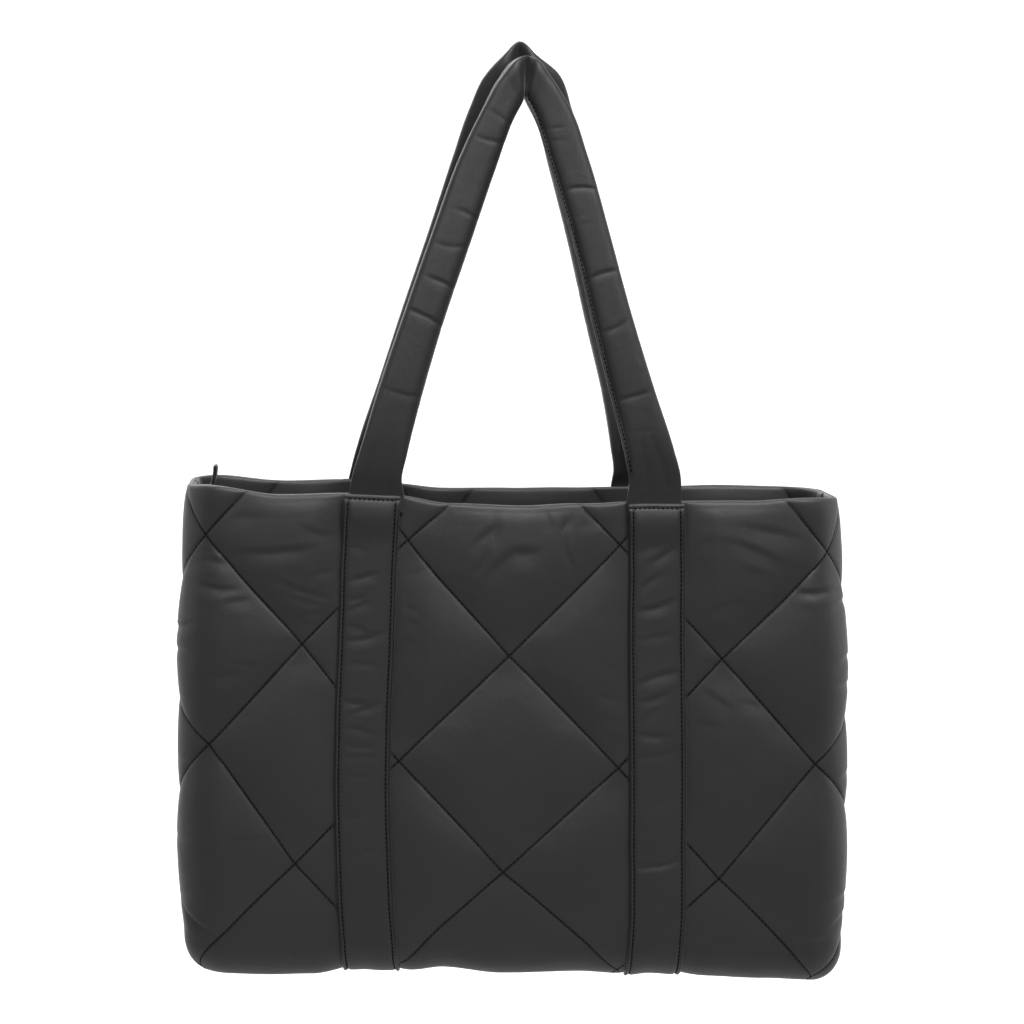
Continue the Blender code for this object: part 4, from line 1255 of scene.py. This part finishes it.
def stage_material(name, glow, shades):
    """Matte studio paper: rolled card with a fine tooth, so it scatters light evenly."""
    material, tree, shader = new_material(name, {
        "Roughness": 0.9,
        "Specular IOR Level": 0.1,
        "Emission Color": WHITE,
        "Emission Strength": glow,
    })
    place = add(tree, "ShaderNodeTexCoord").outputs["Object"]
    # Paper has a tooth of about 0.3 mm; it is drawn 30 times as coarse and very faint.
    grain = add(tree, "ShaderNodeTexNoise", {"Vector": place, "Scale": 100.0, "Detail": 2.0})
    dark, light = (shaded(linear(shade)) for shade in shades)
    tone = add(tree, "ShaderNodeMix", {
        "Factor": grain.outputs["Fac"], "A": dark, "B": light,
    }, data_type="RGBA")
    tree.links.new(tone.outputs["Result"], shader.inputs["Base Color"])
    return material


def make_stage():
    """Flat floor, and a backdrop of a quarter circle and a straight rise that starts where the floor ends."""
    turn = np.linspace(0.0, math.pi / 2, 25)
    corner = STAGE_BACK - STAGE_RADIUS
    floor_y = np.linspace(STAGE_FRONT, corner, 13)
    curve_y, curve_z = corner + STAGE_RADIUS * np.sin(turn), FLOOR + STAGE_RADIUS * (1 - np.cos(turn))
    rise = np.linspace(curve_z[-1], STAGE_TOP, 8)[1:]
    back_y, back_z = np.append(curve_y, np.full_like(rise, STAGE_BACK)), np.append(curve_z, rise)
    x = np.linspace(-STAGE_SIDE, STAGE_SIDE, 13)
    for name, y, z, glow, shades in (
        ("studio_floor", floor_y, np.full_like(floor_y, FLOOR), 0.0, FLOOR_SHADES),
        ("studio_backdrop", back_y, back_z, STAGE_GLOW, BACKDROP_SHADES),
    ):
        points = np.stack(np.broadcast_arrays(x[:, None], y, z), -1)
        ids = np.arange(points[..., 0].size).reshape(points.shape[:2])
        mesh = bpy.data.meshes.new(name)
        mesh.from_pydata(points.reshape(-1, 3), [], grid_faces(ids))
        mesh.materials.append(stage_material(f"{name}_rolled_paper", glow, shades))
        mesh.shade_smooth()
        placed(name, mesh)


def add_light(name, place, aim, width, depth, spread, power):
    """A rectangular soft light at a place, turned to face a point."""
    lamp = bpy.data.lights.new(name, "AREA")
    lamp.shape = "RECTANGLE"
    lamp.size, lamp.size_y = width, depth
    lamp.spread = math.radians(spread)
    lamp.energy = power
    holder = placed(name, lamp)
    holder.location = place
    holder.rotation_euler = (Vector(aim) - Vector(place)).to_track_quat("-Z", "Y").to_euler()


def length_setting(name, description, default, least):
    """A length in metres in the panel."""
    return FloatProperty(name=name, description=description, default=default, min=least, unit="LENGTH")


def colour_setting(name, description, code):
    """A colour in the panel, from its sRGB hex code."""
    return FloatVectorProperty(
        name=name, description=description, default=linear(code), size=3, subtype="COLOR"
    )


class ToteSizes(bpy.types.PropertyGroup):
    puff: length_setting(
        "Puff", "How far the padding rises off the seams on each side of the wall", 0.0046, 0.0
    )
    quilt_pitch: length_setting(
        "Quilting pitch", "Distance from stitch to stitch along the quilting", 0.0032, 0.001
    )
    band_pitch: length_setting(
        "Strap pitch", "Distance from stitch to stitch along the straps and the handles", 0.0030, 0.001
    )


class ToteColours(bpy.types.PropertyGroup):
    panel: colour_setting("Panels", "Colour of the quilted cloth", "2a2929")
    band: colour_setting("Bands", "Colour of the stitched straps", "292828")
    handle: colour_setting("Handles", "Colour of the padded handles", "212020")
    tape: colour_setting("Tape", "Colour of the zip tape", "111111")
    thread: colour_setting("Thread", "Colour of the thread", "060606")


class TOTE_OT_halves(bpy.types.Operator):
    """Makes the quilted front and back halves of the body"""

    bl_idname = "tote.halves"
    bl_label = "Quilted halves"

    def execute(self, context):
        scene = context.scene
        for side, back in (("front", False), ("back", True)):
            material = cloth_material(f"{side}_quilted_calendered_taffeta", scene.tote_colours.panel, True)
            piece = make_half(f"{side}_quilted_half", material, scene.tote_sizes, back)
            fit(piece, "quilted_fabric", f"{side}_shell")
        return {"FINISHED"}


class TOTE_OT_base(bpy.types.Operator):
    """Makes the quilted pad between the base seams"""

    bl_idname = "tote.base"
    bl_label = "Quilted base"

    def execute(self, context):
        scene = context.scene
        material = cloth_material("base_quilted_calendered_taffeta", scene.tote_colours.panel, True)
        piece = make_base("quilted_base", material, scene.tote_sizes)
        fit(piece, "base_fabric", "base_panel")
        return {"FINISHED"}


class TOTE_OT_bands(bpy.types.Operator):
    """Makes the four flat straps, with their turned edges and their folds"""

    bl_idname = "tote.bands"
    bl_label = "Bands"

    def execute(self, context):
        material = cloth_material("folded_strap_taffeta", context.scene.tote_colours.band, strap=True)
        for face, side, folds in band_list():
            piece = make_band(f"{face}_{side}_strap", side, material, face == "back", folds)
            fit(piece, "band_fabric", f"{face}_{side}_band")
        return {"FINISHED"}


class TOTE_OT_handles(bpy.types.Operator):
    """Makes the two padded handles, with their creases and their flat feet"""

    bl_idname = "tote.handles"
    bl_label = "Handles"

    def execute(self, context):
        material = cloth_material("padded_handle_taffeta", context.scene.tote_colours.handle)
        for face, parts in handle_list():
            piece = make_handle(f"{face}_padded_handle", parts, material, face == "back")
            fit(piece, "handle_fabric", f"{face}_handle")
        return {"FINISHED"}


class TOTE_OT_tab(bpy.types.Operator):
    """Makes the folded tape in the end of the opening"""

    bl_idname = "tote.tab"
    bl_label = "Zip tab"

    def execute(self, context):
        material = cloth_material("folded_zip_tape", context.scene.tote_colours.tape)
        piece = make_tab("folded_zip_tab", material)
        fit(piece, "zip_tape", "zip_tab")
        return {"FINISHED"}


class TOTE_OT_stitches(bpy.types.Operator):
    """Sews the quilting, the bands and the handles with black thread"""

    bl_idname = "tote.stitches"
    bl_label = "Stitches"

    def execute(self, context):
        scene = context.scene
        sizes = scene.tote_sizes
        thread = thread_material("spun_polyester_thread", scene.tote_colours.thread)
        for face in ("front", "back"):
            back = face == "back"
            paths = quilt_paths(back, sizes)
            fit(make_stitches(f"{face}_quilt_stitches", paths, thread, sizes.quilt_pitch, QUILT_STITCH), None)
            bands = [(side, folds) for row_face, side, folds in band_list() if row_face == face]
            paths = [path for side, folds in bands for path in band_paths(side, back, folds)]
            fit(make_stitches(f"{face}_strap_stitches", paths, thread, sizes.band_pitch, STRAP_STITCH), None)
        for face, parts in handle_list():
            paths = handle_paths(parts, face == "back")
            fit(make_stitches(f"{face}_handle_stitches", paths, thread, sizes.band_pitch, STRAP_STITCH), None)
        return {"FINISHED"}


class TOTE_OT_stage(bpy.types.Operator):
    """Makes the pale floor and backdrop, the soft lights and the camera"""

    bl_idname = "tote.stage"
    bl_label = "Studio"

    def execute(self, context):
        scene = context.scene
        camera = bpy.data.cameras.new("camera")
        camera.sensor_width = SENSOR_WIDTH
        camera.lens = CAMERA_LENS
        eye = placed("camera", camera)
        eye.location = CAMERA_PLACE
        eye.rotation_euler = Vector(CAMERA_AIM).to_track_quat("-Z", "Y").to_euler()
        scene.camera = eye
        scene.view_settings.view_transform = "Standard"
        world = bpy.data.worlds.new("studio_air")
        world.use_nodes = True
        air = world.node_tree.nodes["Background"]
        air.inputs["Color"].default_value = WHITE
        air.inputs["Strength"].default_value = AIR_GLOW
        scene.world = world
        make_stage()
        for light in LIGHTS:
            add_light(*light)
        return {"FINISHED"}


class TOTE_PT_pieces(bpy.types.Panel):
    """Lists the tote bag's pieces and the sizes and colours that they use"""

    bl_idname = "TOTE_PT_pieces"
    bl_label = "Puffer tote bag"
    bl_space_type = "VIEW_3D"
    bl_region_type = "UI"
    bl_category = "Tote"

    def draw(self, context):
        layout = self.layout
        for kind in OPERATORS:
            layout.operator(kind.bl_idname)
        for group in (context.scene.tote_sizes, context.scene.tote_colours):
            for name in group.__annotations__:
                layout.prop(group, name)


OPERATORS = (
    TOTE_OT_stage,
    TOTE_OT_halves,
    TOTE_OT_base,
    TOTE_OT_bands,
    TOTE_OT_handles,
    TOTE_OT_tab,
    TOTE_OT_stitches,
)
CLASSES = (ToteSizes, ToteColours, *OPERATORS, TOTE_PT_pieces)


def register():
    for kind in CLASSES:
        bpy.utils.register_class(kind)
    bpy.types.Scene.tote_sizes = PointerProperty(type=ToteSizes)
    bpy.types.Scene.tote_colours = PointerProperty(type=ToteColours)


def unregister():
    del bpy.types.Scene.tote_colours
    del bpy.types.Scene.tote_sizes
    for kind in reversed(CLASSES):
        bpy.utils.unregister_class(kind)


def main():
    register()
    bpy.ops.tote.stage()
    bpy.ops.tote.halves()
    bpy.ops.tote.base()
    bpy.ops.tote.bands()
    bpy.ops.tote.handles()
    bpy.ops.tote.tab()
    bpy.ops.tote.stitches()


if __name__ == "__main__":
    main()
